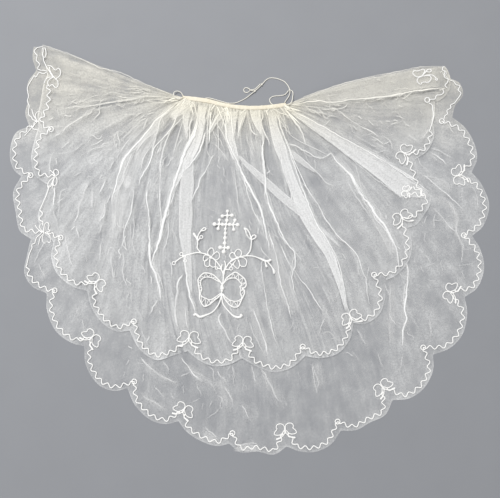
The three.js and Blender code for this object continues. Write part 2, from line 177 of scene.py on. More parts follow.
def tube(line, radius, sides=CORD_SIDES, squash=1.0):
    """A round thread along a line of points: its points, faces and the UVs of their corners"""
    line = np.asarray(line, float)
    count = len(line)
    radius = np.broadcast_to(radius, count)
    way = along(line)
    step = directions(line)
    side = np.cross(step, (0, 0, 1))
    side /= np.linalg.norm(side, axis=1)[:, None]
    up = np.cross(side, step)
    turn = np.arange(sides) * 2 * math.pi / sides
    ring = np.cos(turn)[None, :, None] * side[:, None] + squash * np.sin(turn)[None, :, None] * up[:, None]
    points = (line[:, None] + radius[:, None, None] * ring).reshape(-1, 3)
    tips = [line[0] - step[0] * radius[0] * CORD_TIP, line[-1] + step[-1] * radius[-1] * CORD_TIP]
    points = np.vstack([points, *tips])
    faces, uvs = [], []
    for k in range(count - 1):
        for n in range(sides):
            m = (n + 1) % sides
            faces.append((k * sides + n, (k + 1) * sides + n, (k + 1) * sides + m, k * sides + m))
            low, high = n / sides, (n + 1) / sides
            uvs += [(way[k], low), (way[k + 1], low), (way[k + 1], high), (way[k], high)]
    last = (count - 1) * sides
    for n in range(sides):
        m = (n + 1) % sides
        faces.append((count * sides, n, m))
        faces.append((count * sides + 1, last + m, last + n))
        uvs += [(way[0], n / sides)] * 3 + [(way[-1], n / sides)] * 3
    return points, faces, uvs


def mesh_piece(name, points, faces, uvs, finish, uv_name="thread", measures=()):
    """A mesh with UVs at the corners of its faces, and with measures at its points"""
    mesh = bpy.data.meshes.new(name)
    mesh.from_pydata(points.tolist(), [], faces)
    mesh.uv_layers.new(name=uv_name).data.foreach_set("uv", np.asarray(uvs, float).ravel())
    for key, values in dict(measures).items():
        values = np.ascontiguousarray(values, float).ravel()
        mesh.attributes.new(key, "FLOAT", "POINT").data.foreach_set("value", values)
    mesh.shade_smooth()
    mesh.materials.append(finish)
    piece = bpy.data.objects.new(name, mesh)
    bpy.context.collection.objects.link(piece)
    return piece


def joined(name, parts, finish):
    """One mesh piece from parts that tube() or a like function made"""
    points, faces, uvs = [], [], []
    for part_points, part_faces, part_uvs in parts:
        start = sum(len(group) for group in points)
        points.append(part_points)
        faces += [tuple(corner + start for corner in face) for face in part_faces]
        uvs += part_uvs
    return mesh_piece(name, np.vstack(points), faces, uvs, finish)


class Wire:
    """An output of a shader node. Sums and products of wires add the Math nodes for them."""

    def __init__(self, surface, socket):
        self.surface = surface
        self.socket = socket

    def math(self, operation, *values):
        inputs = dict(enumerate(values))
        return self.surface.node("ShaderNodeMath", {"operation": operation}, inputs)

    def __add__(self, other):
        return self.math("ADD", self, other)

    def __radd__(self, other):
        return self.math("ADD", other, self)

    def __sub__(self, other):
        return self.math("SUBTRACT", self, other)

    def __rsub__(self, other):
        return self.math("SUBTRACT", other, self)

    def __mul__(self, other):
        return self.math("MULTIPLY", self, other)

    def clamped(self):
        held = self.math("MAXIMUM", self, 0.0)
        return held.math("MINIMUM", held, 1.0)


class Surface:
    """A material under construction: its Principled shader, and one method that adds any other node"""

    def __init__(self, name, **constants):
        self.material = bpy.data.materials.new(name)
        self.material.use_nodes = True
        self.tree = self.material.node_tree
        self.shader = self.tree.nodes["Principled BSDF"]
        for socket, value in constants.items():
            self.shader.inputs[socket.replace("_", " ")].default_value = value

    def node(self, kind, settings, sockets, out=0):
        made = self.tree.nodes.new(kind)
        for key, value in settings.items():
            setattr(made, key, value)
        for key, value in sockets.items():
            if isinstance(value, Wire):
                self.tree.links.new(value.socket, made.inputs[key])
            else:
                made.inputs[key].default_value = value
        return Wire(self, made.outputs[out])

    def feed(self, socket, wire):
        self.tree.links.new(wire.socket, self.shader.inputs[socket])

    def uv(self, name):
        return self.node("ShaderNodeUVMap", {"uv_map": name}, {})

    def attribute(self, name):
        return self.node("ShaderNodeAttribute", {"attribute_name": name}, {}, out="Fac")

    def object_place(self):
        return self.node("ShaderNodeTexCoord", {}, {}, out="Object")

    def scaled(self, vector, scale):
        return self.node("ShaderNodeMapping", {}, {"Vector": vector, "Scale": scale})

    def noise(self, vector, scale, detail=2.0, dimensions="3D"):
        settings = {"noise_dimensions": dimensions}
        return self.node("ShaderNodeTexNoise", settings, {"Vector": vector, "Scale": scale, "Detail": detail})

    def mix(self, share, low, high):
        sockets = {"Factor": share, 6: (*low, 1), 7: (*high, 1)}
        return self.node("ShaderNodeMix", {"data_type": "RGBA"}, sockets, out=2)

    def bump(self, height, distance, strength=1.0):
        sockets = {"Height": height, "Distance": distance, "Strength": strength}
        self.feed("Normal", self.node("ShaderNodeBump", {}, sockets))


def spun_thread(name, pale, painted_groove_shade, pitch):
    """A thread covered in spun yarn, whose turns show as slanting ridges, with painted shade in the grooves
    between them
    """
    surface = Surface(name, Roughness=0.6, Sheen_Weight=0.3)
    turns = surface.node("ShaderNodeTexWave", {"wave_type": "BANDS", "bands_direction": "DIAGONAL"},
                         {"Vector": surface.scaled(surface.uv("thread"), (1 / pitch, 2.0, 1.0)),
                          "Scale": 1.0, "Distortion": 0.6}, out="Fac")
    # the grooves between the turns take the darker colour: painted shade
    surface.feed("Base Color", surface.mix(turns, painted_groove_shade, pale))
    surface.bump(turns, pitch * 0.3, 0.6)
    return surface.material


YARN_PITCH = 0.0012
# the second colour is painted shade for the grooves between the yarn's turns
elastic_finish = spun_thread("covered_elastic", (0.97, 0.95, 0.88), (0.84, 0.80, 0.69), YARN_PITCH)


def route(points):
    """A cord's line in the frame, in metres"""
    points = np.asarray(points, float)
    return smooth_line(np.hstack([laid(points[:, :2]), points[:, 2:] * MM]), ROUTE_STEPS)


def add_cord(name, points):
    line = route(points)
    cord = joined(name + "_strand", [tube(line, CORD / 2)], elastic_finish)
    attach(cord, "root")
    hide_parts(name)
    return cord


# The knots: overhand knots in the elastic, each drawn tight round the cord that it is tied in
KNOT_POINTS = {"knot_a": (8, 10), "knot_b": (11, 13), "knot_c": (20, 21)}
KNOT_STEPS = 72
THIN_SIDES = 8  # of thin cords and threads
KNOT_THREAD = 0.00075
KNOT_TURN = 0.00046  # how far its turns stand off its middle
KNOT_STRETCH = 1.6


def add_knot(name, before, after):
    low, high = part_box(name)
    middle = np.array((low + high) / 2)
    ends = np.array([HEAD_ELASTIC[before], HEAD_ELASTIC[after]], float)
    ends = np.hstack([laid(ends[:, :2]), ends[:, 2:] * MM])
    axis = ends[1] - ends[0]
    axis /= np.linalg.norm(axis)
    side = np.cross(axis, (0, 0, 1))
    side /= np.linalg.norm(side)
    up = np.cross(side, axis)
    turn = np.linspace(0, 2 * math.pi, KNOT_STEPS)
    across = (np.sin(turn) + 2 * np.sin(2 * turn)) * KNOT_TURN
    rise = (np.cos(turn) - 2 * np.cos(2 * turn)) * KNOT_TURN
    ahead = -np.sin(3 * turn) * KNOT_TURN * KNOT_STRETCH
    line = middle + across[:, None] * side + rise[:, None] * up + ahead[:, None] * axis
    knot = joined(name + "_tied", [tube(line, KNOT_THREAD, THIN_SIDES)], elastic_finish)
    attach(knot, "root")
    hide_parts(name)
    return knot


knots = [add_knot(name, *points) for name, points in KNOT_POINTS.items()]
add_cord("head_elastic", HEAD_ELASTIC)
add_cord("tie_loop", TIE_LOOP)
add_cord("left_loop", LEFT_LOOP)
add_cord("right_loop_inner", RIGHT_LOOP_INNER)
add_cord("right_loop_outer", RIGHT_LOOP_OUTER)

# The table and the light
# A plain pale table top, and soft light from a broad lamp above the veil's left shoulder.
TABLE_SIZE = 40
TABLE_GREY = np.array((0.255, 0.262, 0.278))
TABLE_GRAIN = 14.0
GRAIN_DEPTH = 0.03
LAMP_PLACE = Vector((-1.1, 1.3, 2.9))
LAMP_SIZE = 1.6
LAMP_POWER = 88
ROOM_COLOUR = (0.98, 0.985, 1.0, 1)
ROOM_LIGHT = 0.6
NET_LAYERS_SEEN = 32  # see-through surfaces that one ray may cross

bpy.ops.object.select_all(action="DESELECT")
bpy.ops.mesh.primitive_plane_add(size=TABLE_SIZE, location=(0, 0, 0))
table = bpy.context.object
table.name = "table_top"
table_surface = Surface("table_top", Roughness=0.8)
grain = table_surface.noise(table_surface.object_place(), TABLE_GRAIN)
grey = table_surface.mix(grain, TABLE_GREY * (1 - GRAIN_DEPTH), TABLE_GREY * (1 + GRAIN_DEPTH))
table_surface.feed("Base Color", grey)
table.data.materials.append(table_surface.material)

bpy.ops.object.light_add(type="AREA", location=LAMP_PLACE)
lamp = bpy.context.object
lamp.data.shape = "DISK"
lamp.data.size = LAMP_SIZE
lamp.data.energy = LAMP_POWER
lamp.rotation_euler = (-LAMP_PLACE).to_track_quat("-Z", "Y").to_euler()
world = bpy.data.worlds.new("room")
world.use_nodes = True
world.node_tree.nodes["Background"].inputs["Color"].default_value = ROOM_COLOUR
world.node_tree.nodes["Background"].inputs["Strength"].default_value = ROOM_LIGHT
bpy.context.scene.world = world
bpy.context.scene.view_settings.view_transform = "Standard"
bpy.context.scene.cycles.transparent_max_bounces = NET_LAYERS_SEEN

# The lower tier
# The long piece of fine net, gathered to the band at its top edge and cut in scallops at its hem.
# It lies almost flat, in one layer that crowds into many at the band.


class Scallop(namedtuple("Scallop", "cusp rise crown fall mark at", defaults=[None] * 5)):
    """One scallop of a hem on the chart: its cusp, three places on its curve, what its cusp carries, where"""

    @property
    def inward(self):
        way = np.array(self.at, float) - self.cusp
        return way / np.linalg.norm(way)


LOWER_HEM = [
    Scallop((34, 47), (33, 53), (33, 60), (35, 66)),
    Scallop((36.5, 71), (28, 83), (28.5, 100), (25.5, 113), None, (42, 73)),
    Scallop((29.5, 126.5), (16, 133), (10, 153), (13.5, 169), "own", (38, 121.3)),
    Scallop((21.5, 176.5), (13.5, 192), (16, 213), (20, 231), "ring", (31, 175.5)),
    Scallop((31, 239), (27, 256), (24.5, 273), (33, 287), "own", (42.5, 232.5)),
    Scallop((47, 293), (47, 310), (56, 331), (72, 343), "ring", (55, 290.5)),
    Scallop((84.5, 346), (86, 365), (99, 385), (115, 391), "bow", (92.5, 337)),
    Scallop((127.5, 388), (135, 405), (151, 420), (166, 424), "ring", (134.5, 381.5)),
    Scallop((178.5, 421), (187, 432), (203, 442), (218, 446), "bow", (184.4, 409)),
    Scallop((229, 443.5), (241, 452.5), (257, 451.5), (274, 454.5), "ring", (232.5, 433)),
    Scallop((286.5, 446.5), (299, 451), (314, 452), (330, 445), "bow", (285, 429)),
    Scallop((341, 430.5), (356, 430), (370, 422.5), (385, 415), "ring", (337.5, 421.5)),
    Scallop((392.5, 400), (409, 398.5), (424, 388), (433, 370), "bow", (382, 386.5)),
    Scallop((433, 354.5), (450, 348), (462.5, 334), (467, 313), "ring", (423, 347.5)),
    Scallop((464.5, 297), (477, 288), (484, 268), (480, 249), "bow", (449.5, 292)),
    Scallop((472, 236), (483, 226), (489, 205), (481, 184), "ring", (463.5, 235.5)),
    Scallop((471.5, 172.5), (477, 158), (473, 141), (464, 127), "bow", (457.5, 176)),
    Scallop((452, 117.5), (455, 106), (463, 95), (459, 83), "ring", (441.5, 121.5)),
    Scallop((450.5, 79), (449, 75), (447.5, 71), (446, 68)),
    Scallop((444, 67)),
]
# The band's middle line on the chart, from its left end to its right end
BAND_LINE = [(183, 98.5), (206, 101.5), (230, 107), (253, 108.8), (275, 107.2), (286, 105.4)]

# A fold line runs from a share of the band's length to a place on the hem, in scallops from the
# left, by way of chart places. The net is laid out between these lines.
FoldLine = namedtuple("FoldLine", "band hem via", defaults=[()])
LOWER_LINES = [FoldLine(*line) for line in [
    (0, 0, [(143, 83.5), (110, 71), (83, 60), (50, 49)]),
    (0.01, 2, [(110, 108)]),
    (0.03, 3.3, [(110, 138)]),
    (0.08, 4.5, [(125, 165)]),
    (0.14, 5.6, [(140, 180)]),
    (0.2, 6.6, [(150, 200)]),
    (0.3, 7.5, [(180, 230)]),
    (0.4, 8.4, [(210, 250)]),
    (0.5, 9.3, [(243, 260)]),
    (0.62, 10.2, [(275, 250)]),
    (0.74, 11.1, [(310, 240)]),
    (0.84, 11.9, [(335, 225)]),
    (0.91, 12.7, [(350, 205)]),
    (0.95, 13.6, [(360, 185)]),
    (0.975, 14.6, [(370, 165)]),
    (0.985, 15.6, [(375, 145)]),
    (0.993, 16.6, [(375, 122)]),
    (1, 19, [(321, 91.5), (361, 80), (398, 72.5), (420, 68)]),
]]

# A crease is a narrow standing fold: chart places along it, its half width there, how many layers
# of net are crowded in it, and its height in mm. A panel is net that lies double or triple: chart
# places along its middle with half its width, and its extra layers. A gap is where net lies thin.
Crease = namedtuple("Crease", "line width layers height", defaults=[0.8, 2, 2])
Panel = namedtuple("Panel", "line layers height", defaults=[2, 1.5])
LOWER_CREASES = [Crease(*fold) for fold in [
    # right of the upper tier, from the top down
    ([(447, 124), (452, 133), (456, 137)], 0.8, 1.3),
    ([(429, 148), (438, 151), (446, 156), (455, 160)], 1.2, 1.5),
    ([(429, 151.5), (438, 158), (443, 162), (448, 167)], 1.1, 2.6),
    ([(430, 155.5), (439, 162)], 0.7, 1.4), ([(424, 168), (430, 174)], 0.7, 1.4),
    ([(419, 173), (425, 177), (432, 183), (440, 190), (448, 196), (455, 203), (460, 208), (467, 213)],
     0.9, 2),
    ([(430, 178), (440, 180), (446, 184), (451, 190)], 1.2, 1.2),
    ([(445, 200), (452, 209), (456, 219), (456, 232), (459, 240), (462, 246), (461.5, 258), (462, 268)],
     1.2, 1.2),
    ([(461, 271), (465, 281)], 0.6, 1.3), ([(461, 187), (461.5, 200)], 0.9, 1),
    ([(432, 208), (438, 214), (445, 222), (452, 230), (459, 236)], 0.9, 1.4),
    ([(466, 185), (473, 190), (476, 197), (477, 207), (478, 214)], 0.8, 1.6),
    ([(424, 232), (424, 240), (428, 247)], 0.9, 0.8), ([(424, 254), (428, 259), (432, 267)], 0.6, 1.5),
    ([(429, 318), (430, 330), (430, 342)], 1.2, 0.9),
    # below the right of the upper tier
    ([(406, 261), (407.4, 271.5), (407, 284), (405.4, 297), (404.4, 312.6), (405.9, 318.7), (402.8, 328),
      (402.8, 347.4), (404.9, 352.6)], 1.1, 5, 3),
    ([(402, 352), (401, 362), (399, 370), (396, 376)], 1.1, 1.3),
    ([(399, 272), (401, 276), (405, 278)], 0.6, 1.8),
    ([(383, 282), (388, 293), (390.5, 298), (394, 303)], 0.8, 1.7),
    ([(390, 282), (389.7, 300), (389.5, 320), (390, 345)], 1.0, 0.9),
    ([(388, 312), (392, 320), (397, 327)], 0.8, 1.5),
    ([(356.7, 328), (362, 338), (368, 348.5)], 1.0, 1.4), ([(350.5, 350.5), (360.8, 361.8)], 1.0, 0.9),
    ([(378, 352), (380, 362), (385, 371)], 1.0, 0.9),
    # below the middle of the upper tier
    ([(312, 362), (313, 372), (314, 382), (316, 390), (319, 397)], 1.0, 1.4),
    ([(259, 366), (265, 374), (269, 382), (273, 390), (277, 398), (283, 403)], 1.1, 1.6),
    ([(262, 372), (266, 382), (268, 392)], 0.8, 1), ([(285, 401), (288, 408)], 0.8, 0.9),
    ([(251, 363), (253, 372), (255, 380), (258, 385)], 0.9, 1.8),
    ([(241, 403), (245, 410), (248, 417), (250, 421)], 0.9, 1.6),
    ([(232, 364), (235, 380)], 0.7, 0.8), ([(217, 369), (220, 376), (225, 380), (229, 385)], 0.8, 1.6),
    ([(223, 384), (227, 391), (231, 397), (233, 404), (233.5, 410)], 0.9, 1.7),
    ([(210, 382), (214, 388), (217, 393)], 0.8, 1.3), ([(204, 402), (202, 410)], 0.7, 0.8),
    ([(180.5, 355), (184, 361), (189, 367), (193, 373), (197, 377), (205, 380)], 0.9, 2.6),
    ([(190, 369), (197, 373), (206, 377)], 0.7, 1.4), ([(195, 376), (203, 382)], 0.7, 1.1),
    ([(163, 361), (168, 368), (169, 374)], 0.8, 1.3), ([(183, 385), (184, 395)], 0.7, 0.8),
    ([(140, 356), (146, 363), (155, 371), (163, 376), (171, 380), (180, 384)], 1.1, 1.6),
    ([(154, 386), (160, 392), (166, 399)], 0.8, 1.1), ([(170, 392), (175, 400)], 0.8, 0.8),
    ([(140, 392), (147, 398), (157, 403), (165, 409), (168, 411)], 1.1, 1),
    # left of the upper tier
    ([(48, 238), (42, 248), (38, 256), (35, 262), (37, 268)], 0.9, 0.9),
    ([(40, 262), (42, 270), (44.5, 275), (45.5, 282)], 0.8, 1),
    ([(82, 318), (84, 325), (84.5, 332)], 0.8, 0.9), ([(76, 306), (79, 313), (80, 319)], 0.7, 0.7),
    # soft swells
    ([(143, 362), (155, 372), (171, 381), (184, 387)], 5, 0.5),
    ([(186, 362), (194, 372), (206, 380), (218, 386)], 5, 0.6),
    ([(217, 378), (222, 390), (227, 402), (229, 413)], 7, 0.6),
    ([(264, 366), (270, 384), (278, 398), (286, 410)], 7, 0.5),
    ([(317, 360), (318, 375), (321, 390)], 7, 0.6),
    ([(243, 403), (248, 414), (252, 424)], 5, 0.4), ([(141, 393), (155, 403), (168, 411)], 4, 0.5),
    ([(426, 173), (436, 180), (446, 187), (453, 194)], 4, 0.7),
    ([(431, 197), (441, 200), (450, 206), (455, 214), (456, 223), (455, 232)], 4.5, 0.8),
    ([(433, 139), (445, 144), (457, 150)], 8, 0.5),
    # the hem, folded up
    ([(235, 447), (242, 443.8), (250, 443), (258, 444), (263, 446.5)], 0.7, 1.6, 1),
    ([(203.8, 426.4), (210, 431.5), (219.2, 438.7)], 0.9, 2.0, 1),
]]
LOWER_PANELS = [Panel(*fold) for fold in [
    ([(391.5, 280, 2.5), (391.5, 300, 3), (391.5, 325, 3), (391.5, 348, 2)], 0.6, 0.5),
    ([(203, 431, 1.5), (210, 437, 3), (219, 442, 2)], 1.4, 0.4),
    ([(233, 450, 1), (247, 447.5, 3.5), (262, 450, 1)], 1.2, 0.4),
]]

TIER_ROWS = 160
TIER_COLUMNS = 600
FEWEST_COLUMNS = 6  # between two fold lines
ROW_CROWDING = 1.35  # towards the band
COLUMN_BUNCHING = 0.1  # towards the fold lines
HEM_TAKE_UP = 4  # the higher, the later the net takes on its hem's scallops
BAND_DETAIL = 24
HEM_DETAIL = 48
NET_GAP = 0.0004


def laid_line(points, steps=CURVE_STEPS):
    return smooth_line(laid(points), steps)


band_line = laid_line(BAND_LINE, BAND_DETAIL)


def hem_points(hem, places):
    """Points of a scalloped edge, at places counted in scallops from the left"""
    edge = []
    for here, there in zip(hem, hem[1:]):
        scallop = [here.cusp, here.rise, here.crown, here.fall, there.cusp]
        edge.append(laid_line(scallop, HEM_DETAIL // 4)[:-1])
    edge = np.vstack([*edge, laid(hem[-1].cusp)])
    marks = np.arange(len(edge)) / HEM_DETAIL
    return np.stack([np.interp(places, marks, axis) for axis in edge.T], -1)


def smooth(value, low, high):
    share = np.clip((value - low) / (high - low), 0, 1)
    return share * share * (3 - 2 * share)


class Tier:
    """The laid-out net of a tier: plan, column places and distance from the band of a grid of points"""

    def __init__(self, hem, lines):
        shares = (np.arange(TIER_ROWS) / (TIER_ROWS - 1)) ** ROW_CROWDING
        tracks = []
        for line in lines:
            start = pick(band_line, [line.band])
            end = hem_points(hem, [line.hem])
            middle = laid(line.via) if len(line.via) else np.empty((0, 2))
            tracks.append(pick(smooth_line(np.vstack([start, middle, end])), shares))
        weights = np.array([b.hem - a.hem for a, b in zip(lines, lines[1:])])
        counts = np.maximum(FEWEST_COLUMNS, np.round(weights / weights.sum() * TIER_COLUMNS)).astype(int)
        plan, bands, hems = [], [], []
        for a, b, left, right, count in zip(lines, lines[1:], tracks, tracks[1:], counts):
            last = b is lines[-1]
            t = np.arange(count + last) / count
            t = t - COLUMN_BUNCHING * np.sin(2 * math.pi * t)
            place = a.hem + t * (b.hem - a.hem)
            between = left[:, None] * (1 - t)[None, :, None] + right[:, None] * t[None, :, None]
            off_hem = hem_points(hem, place) - between[-1]
            plan.append(between + (shares ** HEM_TAKE_UP)[:, None, None] * off_hem[None])
            bands.append(a.band + t * (b.band - a.band))
            hems.append(place)
        self.plan = np.concatenate(plan, axis=1)
        self.band = np.concatenate(bands)
        self.hem = np.concatenate(hems)
        steps = np.linalg.norm(np.diff(self.plan, axis=0), axis=2)
        self.distance = np.vstack([np.zeros(steps.shape[1]), np.cumsum(steps, axis=0)])
        self.share = np.broadcast_to(shares[:, None], self.distance.shape)
        self.length = lines[-1].hem
        self.height = np.zeros(self.distance.shape)
        self.layers = np.ones(self.distance.shape)


def beside(plan, line):
    """Signed distance of points from a line, and how far along it they are, from 0 to 1"""
    way = along(line)
    near = np.full(plan.shape[:-1], np.inf)
    side = np.zeros(near.shape)
    share = np.zeros(near.shape)
    for start, end, before in zip(line, line[1:], way):
        step = end - start
        length = np.linalg.norm(step)
        off = plan - start
        reach = np.clip((off @ step) / length ** 2, 0, 1)
        gap = off - reach[..., None] * step
        distance = np.linalg.norm(gap, axis=-1)
        closer = distance < near
        near = np.where(closer, distance, near)
        side = np.where(closer, np.sign(step[0] * off[..., 1] - step[1] * off[..., 0]), side)
        share = np.where(closer, (before + reach * length) / way[-1], share)
    return near * side, share


def close_by(plan, line, margin):
    """The points of a plan within a margin of a line's box"""
    low, high = line.min(axis=0) - margin, line.max(axis=0) + margin
    return np.all((plan > low) & (plan < high), axis=-1)


SWELL_WIDTH = 1.3  # as a share of the fold's own
SWELL_HEIGHT = 0.6
SWELL_LAYERS = 0.12


def swell_net(tier, creases, panels, gaps=()):
    """Lifts a tier's net under its folds, and thins the crowded net by the band in the gaps"""
    for gap in gaps:
        table = np.asarray(gap.line, float)
        line = laid_line(table[:, :2], 6)
        chosen = close_by(tier.plan, line, table[:, 2].max() * UNIT * 2)
        off, share = beside(tier.plan[chosen], line)
        ways = along(laid(table[:, :2]))
        half = np.interp(share, ways / ways[-1], table[:, 2] * UNIT)
        inside = 1 - smooth(np.abs(off), 0.6 * half, 1.3 * half)
        tier.layers[chosen] -= (tier.layers[chosen] - tier.thin) * gap.layers * inside
    for fold in [*panels, *creases]:
        table = np.asarray(fold.line, float)
        line = laid_line(table[:, :2], 4)
        width = (table[:, 2].mean() if table.shape[1] == 3 else 2 * fold.width) * UNIT
        chosen = close_by(tier.plan, line, 3 * width)
        off, share = beside(tier.plan[chosen], line)
        fade = smooth(share, -0.02, 0.15) * (1 - smooth(share, 0.8, 1.02))
        swell = fade * np.exp(-(off / (SWELL_WIDTH * width)) ** 2)
        tier.height[chosen] += SWELL_HEIGHT * fold.height * MM * swell
        tier.layers[chosen] += SWELL_LAYERS * fold.layers * swell


def wandering(generator, places, count):
    """Smooth random values from 0 to 1, count of them over places from 0 to 1"""
    table = generator.random(count + 4)
    spot = np.clip(places, 0, 1) * count
    cell = np.floor(spot).astype(int)
    part = spot - cell
    part = part * part * (3 - 2 * part)
    return table[cell] * (1 - part) + table[cell + 1] * part


STRAND_HEIGHT = 0.5  # mm, of every fold that isn't charted
STRAND_STEPS = 4
# Ranges, or for gamma the shape and the scale, of what is drawn for each gather
GATHER_LENGTHS = (1.5, 0.7)
GATHER_DRIFT = 0.035
GATHER_LAYERS = (2.0, 0.5)
GATHER_WIDTHS = (0.6, 1.5)
GATHER_STARTS = (0, 0.25)
GATHER_POINTS = 12
FEWEST_ROWS = 6


def gathers(tier, seed, count, layers, reach, width):
    """Small random folds that start at the band, drift a little sideways and die away"""
    generator = np.random.default_rng(seed)
    spot = 0.55 * tier.band + 0.45 * tier.hem / tier.length
    columns = np.arange(len(spot))
    folds = []
    for _ in range(count):
        centre = generator.uniform(0, 1)
        far = reach * generator.gamma(*GATHER_LENGTHS)
        drift = generator.normal(0, GATHER_DRIFT)
        strong = layers * generator.gamma(*GATHER_LAYERS)
        wide = width * generator.uniform(*GATHER_WIDTHS)
        late = generator.uniform(*GATHER_STARTS)
        away = tier.distance[:, int(np.interp(centre, spot, columns))]
        rows = np.flatnonzero((away >= late * far) & (away < far))
        if len(rows) < FEWEST_ROWS:
            continue
        rows = rows[::max(1, len(rows) // GATHER_POINTS)]
        place = np.interp(centre + drift * np.sin(1.6 * away[rows] / far), spot, columns)
        left = np.minimum(place.astype(int), len(spot) - 2)
        part = (place - left)[:, None]
        line = tier.plan[rows, left] * (1 - part) + tier.plan[rows, left + 1] * part
        line = smooth_line(line, STRAND_STEPS)
        folds.append((line, np.full(len(line), wide * UNIT), strong, STRAND_HEIGHT, 0))
    return folds


# The same for each wrinkle: where on the grid its group is, how widely a group is strewn, and its shape
WRINKLE_ROWS = (0.35, 0.93)
WRINKLE_COLUMNS = (0.02, 0.98)
GROUP_SIZES = (2, 6)
GROUP_ROWS = 7
GROUP_COLUMNS = 9
GROUP_TURN = 0.2
WRINKLE_SHORTEST = 0.010
WRINKLE_LONGER = 0.012
WRINKLE_LENGTHS = (1.5, 0.6)
WRINKLE_BEND = 0.1
WRINKLE_WIDTHS = (0.5, 0.9)
WRINKLE_LAYERS = (0.3, 1.1)


def wrinkles(tier, seed, count, layers, turning):
    """Short faint creases, in loose groups, that lean a little across the fan of the net"""
    generator = np.random.default_rng(seed)
    rows, columns = tier.distance.shape
    folds = []
    while len(folds) < count:
        row = int(rows * generator.uniform(*WRINKLE_ROWS))
        column = int(columns * generator.uniform(*WRINKLE_COLUMNS))
        lean = generator.normal(0, turning)
        for _ in range(generator.integers(*GROUP_SIZES)):
            near_row = int(np.clip(row + generator.normal(0, GROUP_ROWS), 2, rows - 3))
            near_column = int(np.clip(column + generator.normal(0, GROUP_COLUMNS), 2, columns - 3))
            ahead = tier.plan[near_row + 2, near_column] - tier.plan[near_row - 2, near_column]
            ahead /= np.linalg.norm(ahead)
            turn = lean + generator.normal(0, GROUP_TURN)
            ahead = ahead @ np.array([[math.cos(turn), math.sin(turn)], [-math.sin(turn), math.cos(turn)]])
            side = np.array([-ahead[1], ahead[0]])
            long = WRINKLE_SHORTEST + WRINKLE_LONGER * generator.gamma(*WRINKLE_LENGTHS)
            bend = generator.normal(0, WRINKLE_BEND, 2) * long
            line = [tier.plan[near_row, near_column] + ahead * long * (t - 0.5) + side * off
                    for t, off in ((0, 0), (0.33, bend[0]), (0.67, bend[1]), (1, 0))]
            line = smooth_line(line, STRAND_STEPS)
            wide = np.full(len(line), generator.uniform(*WRINKLE_WIDTHS) * UNIT)
            folds.append((line, wide, layers * generator.uniform(*WRINKLE_LAYERS), STRAND_HEIGHT, 0))
    return folds


FOLD_STEP = 0.0022
FOLD_TURN = 0.02  # metres of a crease to one swing of its width
FOLD_SWAY = 6  # the farthest that a strand strays from its crease, on the chart
PANEL_EDGE = 0.3
SHORTEST_STRAND = 8  # steps


def charted(creases, panels, seed):
    """The charted folds as strips: plan line, half widths, layers, height in mm, and how flat each lies"""
    generator = np.random.default_rng(seed)
    strips = []
    for fold in [*panels, *creases]:
        table = np.asarray(fold.line, float)
        line = laid_line(table[:, :2])
        line = pick(line, np.linspace(0, 1, max(5, int(along(line)[-1] / FOLD_STEP))))
        share = np.linspace(0, 1, len(line))
        if table.shape[1] == 3:
            ways = along(laid(table[:, :2]))
            half = np.interp(share, ways / ways[-1], table[:, 2] * UNIT) + PANEL_EDGE * UNIT
            strips.append((line, half, fold.layers, fold.height, 1))
            continue
        turns = max(2, int(along(line)[-1] / FOLD_TURN))
        half = fold.width * 1.15 * UNIT * (0.7 + 0.6 * wandering(generator, share, turns))
        half *= 0.35 + 0.65 * smooth(share, 0, 0.12) * (1 - smooth(share, 0.75, 1))
        side = leftward(line)
        drift = (wandering(generator, share, turns * 3) - 0.5) * 0.9 * UNIT
        strong = fold.layers * (0.65 + 0.7 * wandering(generator, share, turns))
        strips.append((line + side * drift[:, None], half, strong, fold.height, 0))
        for _ in range(int(1.5 * fold.height - 3)):
            first = int(len(line) * generator.uniform(0, 0.5))
            last = int(len(line) * generator.uniform(0.6, 1))
            if last - first < SHORTEST_STRAND:
                continue
            sway = min(FOLD_SWAY * UNIT, 0.1 * along(line)[-1])
            drift = (wandering(generator, share, turns) - 0.5) * sway * smooth(share, 0, 0.4)
            strong = generator.uniform(0.25, 0.6) * fold.layers * (0.5 + wandering(generator, share, turns))
            narrow = generator.uniform(0.35, 0.6)
            strand = slice(first, last)
            strayed = (line + side * drift[:, None])[strand]
            strips.append((strayed, half[strand] * narrow, strong[strand], STRAND_HEIGHT, 0))
    return strips


def grid_faces(corner):
    """The quads between the corners of a grid"""
    return np.stack([corner[:-1, :-1], corner[1:, :-1], corner[1:, 1:], corner[:-1, 1:]], -1).reshape(-1, 4)


FOLD_LIFT = 0.0003  # off the net, and a little more for each fold than for the one before
FOLD_STACK = 0.000002
FLAT_RISE = 0.2  # how much of its height a flat fold and a standing one show
STANDING_RISE = 0.4
FOLD_UV_STEP = 0.37  # keeps the grain of one fold from repeating in the next


